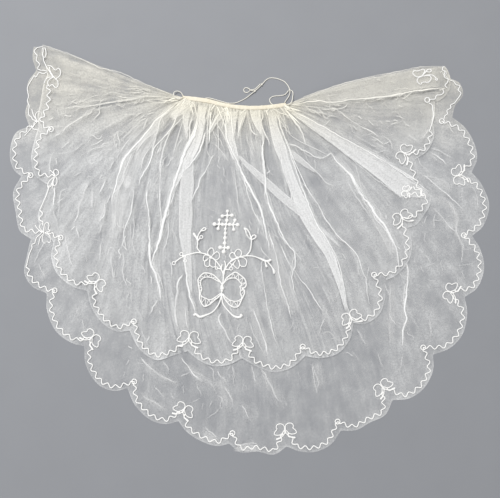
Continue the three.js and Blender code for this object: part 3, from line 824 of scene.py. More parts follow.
def net_folds(name, ground, strips, finish):
    """Narrow strips where the net lies or stands folded on itself, on the rest of a tier"""
    points, faces, uvs, layers, flat, wing = [], [], [], [], [], []
    for order, (line, half, strong, height, lies) in enumerate(strips):
        across = 9 if lies else 5
        places = np.linspace(-1, 1, across)
        share = np.linspace(0, 1, len(line))
        side = leftward(line)
        plan = line[:, None] + side[:, None] * (places[None] * half[:, None])[..., None]
        level = ground.on(plan.reshape(-1, 2), FOLD_LIFT + order * FOLD_STACK)[:, 2]
        level = level.reshape(plan.shape[:2])
        from_band = np.abs(beside(line[:1], band_line)[0])[0] < 0.02
        fade = min(0.4, (0.012 if lies else 0.02) / along(line)[-1])
        ends = 1 - smooth(share, 1 - fade, 1)
        ends *= 0.4 + 0.6 * smooth(share, 0, 0.03) if from_band else smooth(share, 0, fade * 0.6)
        crown = 1 - places ** 4 if lies else (1 - places ** 2) ** 2
        level = level + (ends * height * MM * (FLAT_RISE if lies else STANDING_RISE))[:, None] * crown[None]
        start = sum(map(len, points))
        points.append(np.dstack([plan, level]).reshape(-1, 3))
        corner = start + np.arange(plan.shape[0] * across).reshape(-1, across)
        quads = grid_faces(corner)
        faces.append(quads)
        way = np.broadcast_to((order * FOLD_UV_STEP + along(line))[:, None], plan.shape[:2])
        uv = np.stack([way, np.broadcast_to(places[None], plan.shape[:2])], -1).reshape(-1, 2)
        uvs.append(uv[(quads - start).ravel()])
        layers.append(np.repeat(strong * ends, across))
        flat.append(np.full(plan.shape[0] * across, float(lies)))
        wing.append(wing_warmth(plan, np.abs(beside(plan, band_line)[0])).ravel())
    measures = {"layers": layers, "flat": flat, "wing": wing}
    measures = {key: np.concatenate(values) for key, values in measures.items()}
    piece = mesh_piece(name, np.vstack(points), np.vstack(faces).tolist(), np.vstack(uvs), finish, "fan",
                       measures)
    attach(piece, "root")
    return piece


def net_mesh(name, tier, finish):
    """The mesh of a tier, with its layers and its distance from the band kept at each point"""
    rows, columns = tier.distance.shape
    points = np.dstack([tier.plan, tier.height]).reshape(-1, 3)
    corner = np.arange(rows * columns).reshape(rows, columns)
    faces = grid_faces(corner)
    fan = np.broadcast_to((0.5 * tier.band * tier.length + 0.5 * tier.hem)[None], tier.distance.shape)
    uvs = np.stack([fan, tier.distance], -1).reshape(-1, 2)[faces.ravel()]
    measures = {"layers": tier.layers, "out": tier.distance, "wing": tier.wing}
    return mesh_piece(name, points, faces.tolist(), uvs, finish, "fan", measures)


NET_CELLS = 620.0  # to a metre
NET_ROUGHNESS = 0.75
CELL_RANDOMNESS = 0.35
THREAD_THINNESS = 5.0  # of the threads between two cells
CELL_COVER = 0.78
THREAD_COVER = 0.8
UPRIGHT = 0.6  # how far the net takes the light as if it lay level


def net_body(surface, layers, thinness, coarse, colours):
    """Weave, grain and alpha that tulle and its folds share: the more layers, the less shows through"""
    place = surface.object_place()
    cells = surface.node("ShaderNodeTexVoronoi", {"feature": "DISTANCE_TO_EDGE", "voronoi_dimensions": "2D"},
                         {"Vector": place, "Scale": NET_CELLS, "Randomness": CELL_RANDOMNESS},
                         out="Distance")
    threads = (1.0 - cells * THREAD_THINNESS).clamped()
    grain = surface.noise(place, 350.0 + thinness * 150.0, 2.0) - 0.5
    cover = layers * (1.0 + grain * coarse) * (CELL_COVER + threads * THREAD_COVER)
    clear = cover.math("EXPONENT", cover * -thinness)
    surface.feed("Alpha", (1.0 - clear).clamped())
    surface.feed("Base Color", surface.mix(surface.attribute("wing"), *colours))
    facing = surface.node("ShaderNodeNewGeometry", {}, {}, out="Normal")
    sockets = {0: UPRIGHT, 4: facing, 5: (0, 0, 1)}
    upright = surface.node("ShaderNodeMix", {"data_type": "VECTOR"}, sockets, out=1)
    surface.feed("Normal", surface.node("ShaderNodeVectorMath", {"operation": "NORMALIZE"}, {0: upright}))


def tulle(name, thinness, fanned):
    """Fine net with soft streaks and swags, fanned out from the band more or less strongly"""
    surface = Surface(name, Roughness=NET_ROUGHNESS, Sheen_Weight=0.25, Specular_IOR_Level=0.2)
    place = surface.object_place()
    fan = surface.uv("fan")
    near = surface.node("ShaderNodeMapRange", {}, {"Value": surface.attribute("out"), "From Min": 0.02,
                        "From Max": 0.14, "To Min": 1.0, "To Max": 0.3})

    def soft(vector, scale, detail=2.0):
        return surface.noise(surface.scaled(vector, scale), 1.0, detail, "2D") - 0.5

    gathered = soft(fan, (22.0, 8.0, 1.0), 3.0) * 1.3 + soft(fan, (80.0, 12.0, 1.0)) * 0.8
    swags = soft(fan, (3.4, 5.0, 1.0)) * 1.6 + soft(fan, (8.5, 9.0, 1.0)) * 1.4
    swags = swags + soft(fan, (5.0, 24.0, 1.0), 3.0) * 1.6
    crumple = soft(place, (13.0, 13.0, 13.0), 3.0) * 1.0 + soft(place, (44.0, 34.0, 34.0), 3.0) * 1.5
    layers = surface.attribute("layers") * (1.0 + gathered * near)
    body = layers * (1.0 + swags * fanned + crumple * (1.5 - fanned))
    # the flat net takes the greyer colours: painted shade in the holes of a single layer
    net_body(surface, body, thinness, 1.6, NET_COLOURS_PAINTED_SHADE)
    return surface.material


def tulle_fold(name, thinness):
    """The same net in folds: a crease is densest along its middle, a flat fold along its two edges"""
    surface = Surface(name, Roughness=NET_ROUGHNESS, Sheen_Weight=0.25, Specular_IOR_Level=0.2)
    fan = surface.uv("fan")
    over = surface.node("ShaderNodeSeparateXYZ", {}, {"Vector": fan}, out="Y")
    square = over * over
    round_fold = (1.0 - square).clamped()
    round_fold = round_fold * round_fold * 1.25
    edges = 0.92 + square * square * square * 0.7
    flat_fold = ((1.0 - over.math("ABSOLUTE", over)) * 9.0).clamped() * edges
    profile = round_fold + (flat_fold - round_fold) * surface.attribute("flat")
    strands = surface.noise(surface.scaled(fan, (24.0, 3.2, 1.0)), 1.0, 2.0, "2D") - 0.5
    strands = strands * (2.4 - surface.attribute("flat") * 1.7)
    net_body(surface, surface.attribute("layers") * profile * (1.0 + strands), thinness, 1.3, FOLD_COLOURS)
    return surface.material


# White, and the cream of the wings and of the crowded net by the band. The flat net's pair is greyer than the
# folds' pair of the same net: painted shade for the holes of a single layer.
NET_COLOURS_PAINTED_SHADE = ((0.84, 0.845, 0.84), (0.86, 0.82, 0.70))
FOLD_COLOURS = ((0.95, 0.95, 0.94), (0.95, 0.91, 0.78))
LOWER_THINNESS = 0.34


def wing_warmth(plan, distance):
    """How creamy the net looks: most by the band and on the side wings"""
    near = np.exp(-distance / 0.035)
    top = smooth(plan[..., 1], 0.12, 0.30)
    return np.clip(near * 0.9 + top * 0.65, 0, 1)


lower = Tier(LOWER_HEM, LOWER_LINES)
lower.thin = 0.7
lower.wing = wing_warmth(lower.plan, lower.distance)
# the net crowds towards the two sides, by the band and in the rolled hem
sides = smooth(np.abs(lower.plan[..., 0] + 0.05), 0.12, 0.36)
lower.layers = (0.75 + 0.45 * sides - 0.3 * smooth(lower.plan[..., 0], 0.05, 0.2) * (1 - sides)
                + 1.0 * np.exp(-lower.distance / 0.016) + 0.8 * smooth(lower.share, 0.988, 1))
swell_net(lower, LOWER_CREASES, LOWER_PANELS)
lower.height = NET_GAP + 0.0003 + np.minimum(lower.height, 0.0018 + 0.003 * smooth(lower.share, 0.8, 0.9))
lower.height += 0.0014 * (1 - smooth(lower.distance, 0.006, 0.03))
lower_net = net_mesh("long_tier_net", lower, tulle("long_tier_net", LOWER_THINNESS, 0.4))
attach(lower_net, "root")
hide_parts("lower_tier")


ABOVE = 0.1


class Ground:
    """The surface that a fold or a thread lies on"""

    def __init__(self, piece):
        mesh = piece.data
        points = [vertex.co.copy() for vertex in mesh.vertices]
        self.tree = BVHTree.FromPolygons(points, [tuple(face.vertices) for face in mesh.polygons])

    def on(self, plan, lift):
        """Points over the plan, lifted off the net"""
        raised = []
        height = 0.0
        for x, y in plan:
            hit = self.tree.ray_cast(Vector((x, y, ABOVE)), Vector((0, 0, -1)))[0]
            height = hit.z if hit is not None else height
            raised.append((x, y, height + lift))
        return np.array(raised)


lower_ground = Ground(lower_net)
lower_strips = charted(LOWER_CREASES, LOWER_PANELS, 4) + wrinkles(lower, 21, 340, 1.5, 0.7)
lower_folds = net_folds("long_tier_folds", lower_ground, lower_strips,
                        tulle_fold("long_tier_folds", LOWER_THINNESS))

# The upper tier
# The short piece of the same net, on top of the long one. Its folds run from the band like rays,
# and at the right two pleats of it are laid over, so that its hem turns back on itself there.
UPPER_HEM = [
    Scallop((43.5, 45.5), (42, 52), (43.5, 59), (46.5, 67)),
    Scallop((48, 76), (44, 86), (41.5, 102), (38.5, 117), "own", (54, 78)),
    Scallop((39.5, 127), (35, 142), (32, 159), (36, 176), "ring", (52, 130)),
    Scallop((49.5, 186), (44.5, 200), (38.5, 217), (44, 232), "own", (55.9, 176.7)),
    Scallop((54.5, 242), (52, 257), (58, 274), (74, 287), "ring", (61.5, 238)),
    Scallop((88, 291), (92, 307), (104, 324), (118, 331.5), "bow", (98, 281.5)),
    Scallop((130, 330.5), (140, 349), (157, 360), (174, 355), "ring", (134.5, 321.5)),
    Scallop((188, 351), (199, 360), (214, 366), (230, 364), "bow", (189.5, 337)),
    Scallop((242, 358), (256, 366), (274, 372), (292, 367), "bow", (243.1, 341.5)),
    Scallop((305, 356), (320, 358), (338, 353), (350, 338), "ring", (302.5, 346.5)),
    Scallop((353, 323), (365, 323.5), (379, 314), (384.5, 298), "bow", (350, 316.7)),
    Scallop((384, 281), (396, 275), (408, 261), (411.5, 244), "ring", (373.5, 275)),
    Scallop((406.5, 228), (415, 225.5), (423, 216), (429, 206), "bow", (400.8, 217)),
    Scallop((431, 196), (425, 191), (420, 182), (417, 171), "end", (412.5, 187.5)),
    Scallop((414, 160), (426, 152), (433.5, 137), (432, 120), "bow", (402.8, 153.6)),
    Scallop((434.5, 102.5), (439, 101), (443, 98), (446.5, 94), "ring", (426.5, 101)),
    Scallop((449.5, 88.5), (450, 82), (449, 76), (447, 71)),
    Scallop((444, 67)),
]
UPPER_LINES = [FoldLine(*line) for line in [
    (0, 0, [(143.5, 84.2), (111, 71.2), (83, 60.3)]),
    (0.004, 1.0, [(130, 92), (90, 82)]),
    (0.008, 1.6, [(135, 98), (80, 101)]),
    (0.012, 2.4, [(140, 103), (92, 115), (61, 136)]),
    (0.02, 3.5, [(150, 115), (110, 150), (75, 180)]),
    (0.035, 4.8, [(159.5, 125.7), (135.6, 151.2), (118, 186.3), (98, 240)]),
    (0.06, 5.5, [(166, 125), (151, 150), (137.2, 189.5), (122, 240), (111, 290)]),
    (0.08, 6.2, [(171, 133.7), (162, 162.4), (158, 189.5), (148, 240), (140, 300)]),
    (0.11, 6.65, [(186, 140), (173, 189.5), (165.9, 221.4), (156, 262), (160.4, 289.3), (163, 306)]),
    (0.16, 6.95, [(194.6, 141.6), (184, 165), (175.4, 200), (168, 240), (169, 290), (176, 330)]),
    (0.23, 7.3, [(200, 150), (187, 190), (182, 233), (186, 257), (190, 285), (197, 315)]),
    (0.3, 7.6, [(208, 135), (204, 160), (199, 190), (196, 225), (201, 300)]),
    (0.37, 8.1, [(220, 150), (222, 220), (228, 300)]),
    (0.43, 8.85, [(234.4, 154.4), (246, 199.6), (255.7, 218.7), (266, 240), (282.5, 285.7),
                          (290, 314.4)]),
    (0.5, 9.1, [(239, 150), (250, 185), (262, 210), (269, 235), (281, 265), (296, 314)]),
    (0.72, 9.5, [(262.8, 130), (265, 173.5), (272, 213.9), (283, 242.6), (304, 283), (324, 320)]),
    (0.85, 9.8, [(276, 133.7), (286.7, 173.5), (294, 205.4), (317, 245.3), (336, 280), (345, 315)]),
    (0.88, 10.0, [(280, 125), (291.5, 165.6), (312.2, 211.8), (331, 245), (342, 270), (350, 305)]),
    (0.91, 10.5, [(290, 135), (303, 170), (321.8, 211), (348.9, 245), (362, 275), (371, 300)]),
    (0.94, 11.1, [(302, 130), (329.7, 156), (352, 176.7), (371, 202.3), (386, 231), (396, 260)]),
    (0.96, 12.2, [(313.8, 130.5), (339.3, 150), (361.6, 168), (387, 190)]),
    (0.975, 13.0, [(302.6, 115), (339.3, 137), (385.6, 165.6)]),
    (0.985, 14.0, [(320, 115), (365, 134)]),
    (0.99, 14.6, [(330, 111), (380, 123)]),
    (0.995, 16.0, [(339.3, 104.5), (385.6, 99.5), (414.3, 92)]),
    (1, 17, [(321, 91.5), (361, 80), (398, 72.5), (420, 68)]),
]]
UPPER_CREASES = [Crease(*fold) for fold in [
    # the left wing
    ([(61, 135.5), (66, 130), (75, 123), (86, 117), (92, 112.5)], 0.7, 2.2),
    ([(69, 106.5), (75, 102), (80, 98)], 0.6, 1.4),
    ([(62, 110.5), (68, 109), (75, 108), (85, 108), (98, 106), (108, 104.5), (120, 102.5), (130, 101),
      (138, 99.5), (143, 98), (150, 97.5), (160, 97.8), (172, 99.3)], 0.9, 2),
    ([(75, 104), (83, 102.5), (89, 100.5)], 0.8, 1.3), ([(88, 102.5), (100, 102), (108, 102)], 0.9, 1.3),
    ([(144, 101), (150, 102.5), (160, 104), (172, 103)], 0.8, 1.8),
    ([(44, 46), (62, 52.3), (83, 60.3), (92, 65.3), (100, 69), (111, 71.3), (121, 74), (130, 77.8), (145, 85),
      (160, 91), (175, 96.5)], 0.6, 2.2),
    ([(56, 127.5), (61, 127.5), (66, 128.5)], 0.6, 0.9),
    ([(55.5, 186), (55.5, 195), (54.5, 203), (53.3, 210)], 0.7, 4),
    ([(53.3, 209), (50, 216)], 0.7, 1.2), ([(53.3, 209), (57, 220), (60, 226)], 0.8, 1.2),
    ([(70, 187), (66, 190), (62, 193), (60.5, 200), (60, 210), (60.5, 220)], 0.8, 1.3),
    ([(89, 181), (87, 188), (84.5, 195), (82, 201), (80, 208), (78.5, 216), (75.5, 222), (74.5, 228)],
     1.4, 1.2),
    ([(92.5, 190), (93.5, 197), (93, 205), (94, 212)], 1.0, 1.7), ([(91, 181), (94, 187)], 0.7, 0.9),
    ([(107, 177), (105.5, 184), (102, 190), (97, 198)], 0.9, 1.4),
    ([(107, 202), (106.5, 210), (105, 217), (100, 222.5), (96, 226.5)], 0.8, 2.2),
    ([(79, 225), (78, 230), (79, 234), (81, 240)], 0.8, 1.6),
    ([(66, 234), (67, 241), (69.5, 252), (71, 260), (73.5, 265), (76, 271)], 0.8, 1.8),
    ([(102, 243), (101, 253), (100, 262)], 0.7, 1.4),
    ([(59, 108), (59, 115), (61, 118)], 0.6, 1.2),
    ([(62, 112), (66, 123)], 0.6, 1.0),
    ([(104, 97), (112, 93.5), (125, 95.5)], 0.6, 1.2),
    ([(61, 150), (66, 146), (73, 140)], 0.7, 1.2),
    ([(55, 155), (66, 154), (76, 151), (86, 142)], 0.7, 1.3),
    ([(85, 157), (92, 151), (104, 147.5), (112, 141.5)], 0.7, 1.6),
    ([(88, 145), (93, 137)], 0.6, 0.9),
    ([(113, 143), (116, 137), (118, 130)], 0.6, 1.2),
    ([(120, 155), (125, 147), (132, 138), (136, 134)], 0.8, 1.8),
    ([(144, 131), (146, 124), (150, 117)], 0.7, 1.6),
    ([(133, 130), (140, 126)], 0.6, 1.2),
    ([(52, 155), (51, 165), (50.5, 178)], 0.8, 1.2),
    ([(57, 158), (58, 167)], 0.7, 1.6),
    ([(79, 80), (83, 73)], 0.6, 0.8),
    ([(105, 168), (107, 158), (107, 148)], 0.6, 0.9),
    ([(122, 116), (135, 116), (145, 114)], 0.6, 1.2),
    ([(117, 103), (123, 107), (131, 111)], 0.6, 1.0),
    ([(98, 222), (103, 218), (106, 210), (107, 198)], 0.7, 1.2),
    ([(113, 232), (116, 224), (117, 214)], 0.8, 1.6),
    ([(112, 250), (112, 262), (114, 275), (116, 285)], 0.8, 1.2),
    ([(122, 250), (125, 262), (123, 272), (127, 285), (130, 293)], 0.8, 1.2),
    ([(136, 307), (142, 316), (144, 324)], 0.7, 1.0),
    ([(141.3, 328), (145.4, 338), (150.5, 347.4)], 0.9, 1.2),
    # the folds that run down from the band's left end
    ([(178.5, 103), (172, 109), (163, 118), (156, 122.5), (150, 131), (144, 138), (138, 145), (130, 154),
      (125, 161), (122, 170), (119, 179), (116, 190), (113, 200)], 1.3, 5, 4),
    ([(176, 107.5), (168, 115), (161, 122), (159, 130), (157, 137), (155, 145), (153, 152), (151, 160)],
     1.1, 3, 3),
    ([(161, 126), (158, 131), (152, 136.5), (147, 140), (142, 146), (137, 153), (134, 158)], 0.8, 2.4),
    ([(135, 152), (131, 160), (127, 170), (125, 180), (120, 190), (114, 200)], 0.9, 2.2),
    ([(180, 114), (176, 121), (173, 128), (168.5, 134.5), (160, 143), (155, 149.5), (151, 162), (147, 170),
      (142, 178), (138, 190)], 0.9, 4, 3),
    ([(184, 115), (179, 123), (172.5, 130), (168, 139), (165, 146), (162, 157), (161, 170), (160.5, 186)],
     0.8, 2.2),
    ([(148, 153), (143.5, 162), (141.5, 172)], 0.7, 2),
    ([(134, 186), (134, 196), (132.5, 210), (130, 220), (126, 228), (124.5, 238), (126, 246), (125, 256)],
     0.8, 2.2),
    ([(152, 178), (148, 187), (145, 193)], 0.6, 1.6),
    ([(137, 148), (131, 154.5), (128, 157), (125.5, 161), (123, 166), (121, 171), (119.5, 176), (118.5, 182),
      (117.5, 188)], 0.7, 3),
    ([(126, 163), (126, 172), (124, 178), (122, 184), (119, 190), (114, 196), (113, 205), (113, 209)],
     0.7, 2.4),
    ([(126, 172), (125.5, 180), (127, 188)], 0.6, 1.4),
    ([(141, 150), (135, 160), (132, 172), (129, 184), (125, 196)], 7, 1.1),
    ([(120, 186), (117, 198), (116, 212), (115, 230), (113, 246)], 6, 0.9),
    ([(127, 190), (124, 205), (122, 222), (120, 240)], 5, 0.6),
    ([(106, 196), (105, 210), (103, 225)], 3, 0.5),
    ([(157, 131), (152, 148), (148, 152), (145, 158), (142.5, 164), (141.5, 170)], 0.6, 2),
    ([(108, 188), (112, 189), (116, 192)], 0.6, 1.4), ([(131, 222), (128, 226), (126, 229)], 0.6, 1.6),
    ([(116, 214), (116, 222), (117, 226), (114, 230), (112, 233)], 0.6, 1.6),
    ([(131.5, 222), (131.5, 232), (131, 240), (130, 248), (128, 255)], 0.7, 1.2),
    ([(134.5, 215), (134.5, 232), (133, 243), (137, 255), (139, 261)], 0.6, 1.1),
    ([(105.5, 200), (106, 214), (105, 224)], 0.8, 1.2), ([(145, 200), (146, 210)], 0.6, 1.4),
    ([(161, 218), (162, 225), (163.5, 232), (164, 240)], 0.6, 1.4),
    ([(155.5, 252), (155, 262), (156, 270)], 0.8, 2),
    ([(147.5, 188), (147, 199), (149, 211), (150, 224), (150, 236), (151, 245), (155, 256)], 0.9, 4, 3),
    ([(150, 240), (150.5, 258), (152.5, 266), (156, 274), (159, 284), (161, 294), (162, 305)], 1.1, 5, 4),
    ([(169, 153.5), (165, 160), (162, 169), (161, 181), (160.5, 200), (162, 220), (165, 240)], 0.7, 1.8),
    ([(168, 220), (169, 230), (167, 243), (161.5, 256)], 0.7, 2.2),
    ([(172, 228), (177, 240), (181, 250)], 0.7, 1.2),
    ([(183.5, 137), (181, 141.5), (178, 147), (175, 157)], 0.8, 1.8),
    ([(199, 120), (196, 133), (192, 142), (187.5, 150), (184, 158), (180.5, 168), (176, 182), (171, 198),
      (167, 213), (163, 228), (160, 241), (156, 253), (152.5, 263), (152, 268)], 1.4, 6, 6),
    ([(194.5, 118), (191, 125), (190.2, 133), (189.5, 143), (185, 154), (182, 163)], 0.8, 3.5, 3),
    ([(206.5, 131), (204.5, 138), (202, 147), (198.5, 154), (194, 161), (187, 170), (181, 177)], 0.9, 4, 3),
    ([(159.5, 299), (153.6, 307.4), (149.5, 317)], 0.8, 2),
    ([(159, 309), (162.8, 315.6)], 0.6, 1.2),
    # the pleat left of the cross and the creases round it
    ([(181, 176), (183, 188), (184.5, 196)], 0.7, 1.4),
    ([(184.5, 254), (186.5, 270), (188, 285), (190.5, 297), (194.6, 308), (197, 318)], 0.9, 4, 3),
    ([(192.5, 166), (193.5, 186), (192, 203), (191, 230), (191, 250), (191.5, 281)], 0.6, 1.6, 1),
    ([(215, 154), (209, 166), (205, 174), (200.5, 180), (198.5, 187), (194.5, 195), (191.3, 202.5),
      (190.3, 211)], 0.8, 3, 3),
    ([(184, 273), (178.5, 283), (177.5, 293), (176.2, 302), (175.8, 312), (177.2, 324), (180.3, 332)],
     1.2, 2.6, 3),
    ([(175, 334), (174.6, 341)], 0.7, 1),
    ([(184.9, 304), (186.4, 317), (187.4, 325), (190.5, 334)], 0.8, 2),
    ([(223.3, 310.5), (219.2, 317.7), (220.8, 324), (225.4, 331), (229.5, 340.3), (234.6, 346.4)], 0.8, 2.2),
    ([(231, 325), (228.5, 333)], 0.6, 1),
    ([(232, 283), (236, 288), (234, 297)], 0.6, 1),
    # the gathers under the middle of the band
    ([(208, 110), (209.5, 115), (211, 121), (212, 129)], 0.8, 4, 3),
    ([(229, 110.5), (222, 113.5), (218, 117.5), (215.3, 122), (212.5, 128), (209.5, 133), (207, 138)],
     0.8, 3.5, 3),
    ([(212.5, 131), (215, 137), (219, 143.5)], 0.6, 2),
    ([(215, 133), (219, 139), (222, 145), (224.5, 152)], 0.6, 1.4),
    ([(213, 143), (217, 147), (221, 152), (227, 160), (230, 166)], 0.6, 1.6),
    ([(207, 150), (209, 156), (213, 162)], 0.6, 1),
    ([(201, 120), (203, 126), (205, 128)], 0.6, 1.2),
    ([(216, 124), (221, 131), (225.5, 140), (229, 147), (234, 157)], 0.7, 2.4, 3),
    ([(225.5, 118), (225.7, 126), (226.3, 134), (228, 143), (231.5, 151), (236, 160), (240, 169), (244, 178),
      (249, 187), (254, 196.5), (258, 204), (261, 212), (264, 225), (267.4, 240), (270.5, 253)], 1.2, 5.5, 4),
    ([(231, 139), (233, 148), (235, 158), (240, 168)], 0.8, 2.6),
    ([(236.5, 162), (242.5, 175), (246, 188), (249.5, 200), (254, 213), (259, 222), (263.5, 230)], 0.8, 3, 3),
    ([(241, 159), (247, 165), (253, 174), (260, 181.5)], 0.6, 2),
    ([(237.5, 154), (243, 160), (249.5, 165.5), (257, 171.5), (264, 177), (276, 187.5), (292, 200)],
     0.5, 2.2, 1),
    ([(315, 224), (321, 228.5), (327, 233), (332, 239), (336.5, 244.5), (341, 252)], 0.6, 1.8, 1),
    ([(322, 159), (327, 157), (330.3, 154.6), (333.5, 158.5), (338, 164)], 0.8, 2.4, 2),
    ([(234.4, 166), (235, 178), (237, 190), (238.5, 205), (240.5, 221)], 0.7, 1.2),
    ([(239, 111), (236.5, 114.5), (234, 117), (229.5, 118.5)], 0.6, 2),
    ([(243, 117), (241, 124), (239, 131), (237.5, 139.5)], 0.9, 3.5, 3),
    ([(238.5, 118), (234, 122)], 0.6, 1.4),
    ([(247.5, 121), (250, 126), (251.5, 131), (254, 134.5), (257, 136), (260, 139)], 0.7, 3, 3),
    ([(247, 133), (248, 143), (251, 152), (254, 163)], 0.7, 1.6),
    ([(251, 138), (253, 147), (257, 158)], 0.6, 1.4),
    # the folds that run down from the band's right end
    ([(263, 112.5), (263, 118), (261.2, 122), (262.2, 127), (264.5, 133), (268, 141), (272, 149)], 0.8, 3, 3),
    ([(264, 133), (263.5, 141), (262.3, 149), (263, 160), (265, 175), (265.5, 190), (268, 202), (273, 215),
      (278.5, 227.5), (283, 238), (289, 247), (294, 253), (294.7, 265), (292, 276), (293, 287), (297, 298)],
     1.0, 5, 4),
    ([(266, 165), (269, 172), (269.5, 181)], 0.6, 1.2),
    ([(291, 248), (298, 256), (303.3, 264)], 0.6, 1.6),
    ([(280, 243), (288, 263), (294, 271), (300.5, 280), (307.4, 288), (313.6, 298), (319.7, 307.5),
      (325, 316)], 0.7, 2.6, 3),
    ([(325, 317), (320.8, 327), (317.7, 338)], 0.6, 1.2),
    ([(326.4, 308.5), (325, 316)], 0.6, 1),
    ([(268, 230), (274.6, 251), (277, 262), (278.7, 274), (282, 289), (287, 303), (289.7, 314), (292, 323)],
     0.8, 2.4, 3),
    ([(292, 334), (296, 324)], 0.6, 0.8),
    ([(270, 212), (277, 225), (283, 240), (287, 251)], 0.6, 1.4),
    ([(261.3, 261), (262, 274), (264.5, 288), (266.4, 302), (269.5, 318.7), (273, 333), (279.7, 350.5)],
     0.8, 1.8, 3),
    ([(250, 272.6), (255, 285), (257, 295)], 0.6, 0.8),
    ([(252, 306.5), (256.5, 319), (261.5, 331.5), (265.5, 344), (268.5, 360)], 0.9, 2, 3),
    ([(249, 320.8), (255, 337), (261, 348), (266, 358)], 0.8, 1.4),
    ([(274, 112), (277, 117), (279, 122), (280, 126), (282, 132), (284.5, 139), (289, 151), (292, 162),
      (296, 172), (300, 185), (305, 197), (309, 208), (313, 218), (318, 228), (325, 238), (332, 250.5),
      (338, 265), (342, 280), (344.5, 295), (347, 308), (350, 318)], 0.9, 4, 3),
    ([(279, 112), (280, 117), (282, 121), (284.5, 125), (286, 131), (286.7, 138)], 0.6, 2.4),
    ([(282.5, 112.5), (284, 118), (285, 124)], 0.6, 1.6),
    ([(277, 140), (280.5, 156), (283, 172), (288, 185), (291, 196), (293, 210)], 0.8, 3, 3),
    ([(284, 109), (290, 117), (296, 125), (301, 133), (304, 140), (306, 150)], 1.0, 4, 3),
    ([(287, 144), (295, 147), (302, 151), (310, 155), (316, 158.5), (322, 159), (327, 156.5), (331, 153.5)],
     0.8, 2.6, 3),
    ([(331, 154), (335, 161), (341, 168), (348, 174), (352, 180), (357, 190), (362, 198), (369, 206.5),
      (376, 217), (384, 227), (390.5, 240), (395, 250), (397.5, 262), (398.7, 272)], 1.4, 4.5, 4),
    ([(345, 180), (352, 192), (360, 204), (368, 215), (376, 229), (383, 241), (390.5, 257)], 1.0, 1.4),
    ([(353, 163), (357.5, 174), (360, 188), (367, 201), (375, 213)], 0.6, 1.6),
    ([(290, 150), (300, 158), (308, 166), (316, 173), (321, 178), (326, 184), (333, 186), (338, 188)],
     0.7, 2),
    ([(302, 145), (304, 153), (307, 160), (312, 168)], 0.5, 1),
    ([(314, 158), (315, 168), (314, 176)], 0.5, 1),
    ([(301, 181), (307, 190), (313, 199), (318, 206), (322, 214), (329, 225.5), (335, 234), (341, 240),
      (348, 246.5), (353.5, 252), (358.5, 260.5), (361, 271), (365, 279), (367, 295), (369, 304), (373, 308)],
     0.8, 2.8, 3),
    ([(346.4, 247), (352.6, 254), (356.7, 262.5), (358, 272.5), (363, 281)], 0.6, 1.4),
    ([(292, 213), (298, 223)], 0.6, 1),
    ([(342, 280), (338, 292), (333, 303)], 0.8, 1),
    # the pleats of the right wing
    ([(284, 108), (292, 112), (300, 116.5), (312, 123), (325, 130), (340, 138.5), (360, 149.5), (380, 161),
      (400, 174), (410, 181), (421, 187.5), (431, 195.5)], 0.8, 4, 4),
    ([(296, 116), (303, 123), (312, 130), (325, 140), (338, 150), (348, 158), (360, 168), (375, 180),
      (390, 190.5), (401, 200)], 0.7, 1.6, 2),
    ([(292, 105.5), (305, 103.5), (318, 102.5), (333, 104), (342, 102.5), (352, 101), (370, 99.8),
      (388, 97.4), (404, 94.6), (418, 92), (435, 90), (450, 88.5)], 1.0, 5, 2.5),
    ([(296, 100.5), (321, 91.8), (361, 80.3), (398, 72.8), (420, 68.3), (443, 67.2)], 0.6, 1.8),
    ([(372, 142), (378, 146), (388, 151)], 0.7, 1.0),
    ([(304, 105), (308, 110), (313, 112), (318, 115), (323, 120)], 0.6, 1.8),
    ([(322, 128), (326, 125), (331, 120)], 0.6, 1.2),
    ([(325, 120), (329, 117), (334, 117.5), (340, 118)], 0.6, 1.2),
    ([(337, 111), (343, 116), (352, 123), (365, 130), (374, 135), (381, 141)], 0.6, 2.4),
    ([(362.6, 102), (370, 109), (376, 114.5)], 0.6, 0.9),
    ([(401.5, 120.5), (407, 128)], 0.6, 0.9),
    ([(418, 111), (423, 117.5)], 0.6, 1.2),
    ([(433.2, 103), (433, 117), (429.2, 129)], 0.7, 3, 1),
    ([(429, 129), (424, 135), (419, 143)], 2.2, 1), ([(406, 135), (413, 140), (419, 144)], 1.4, 1),
]]
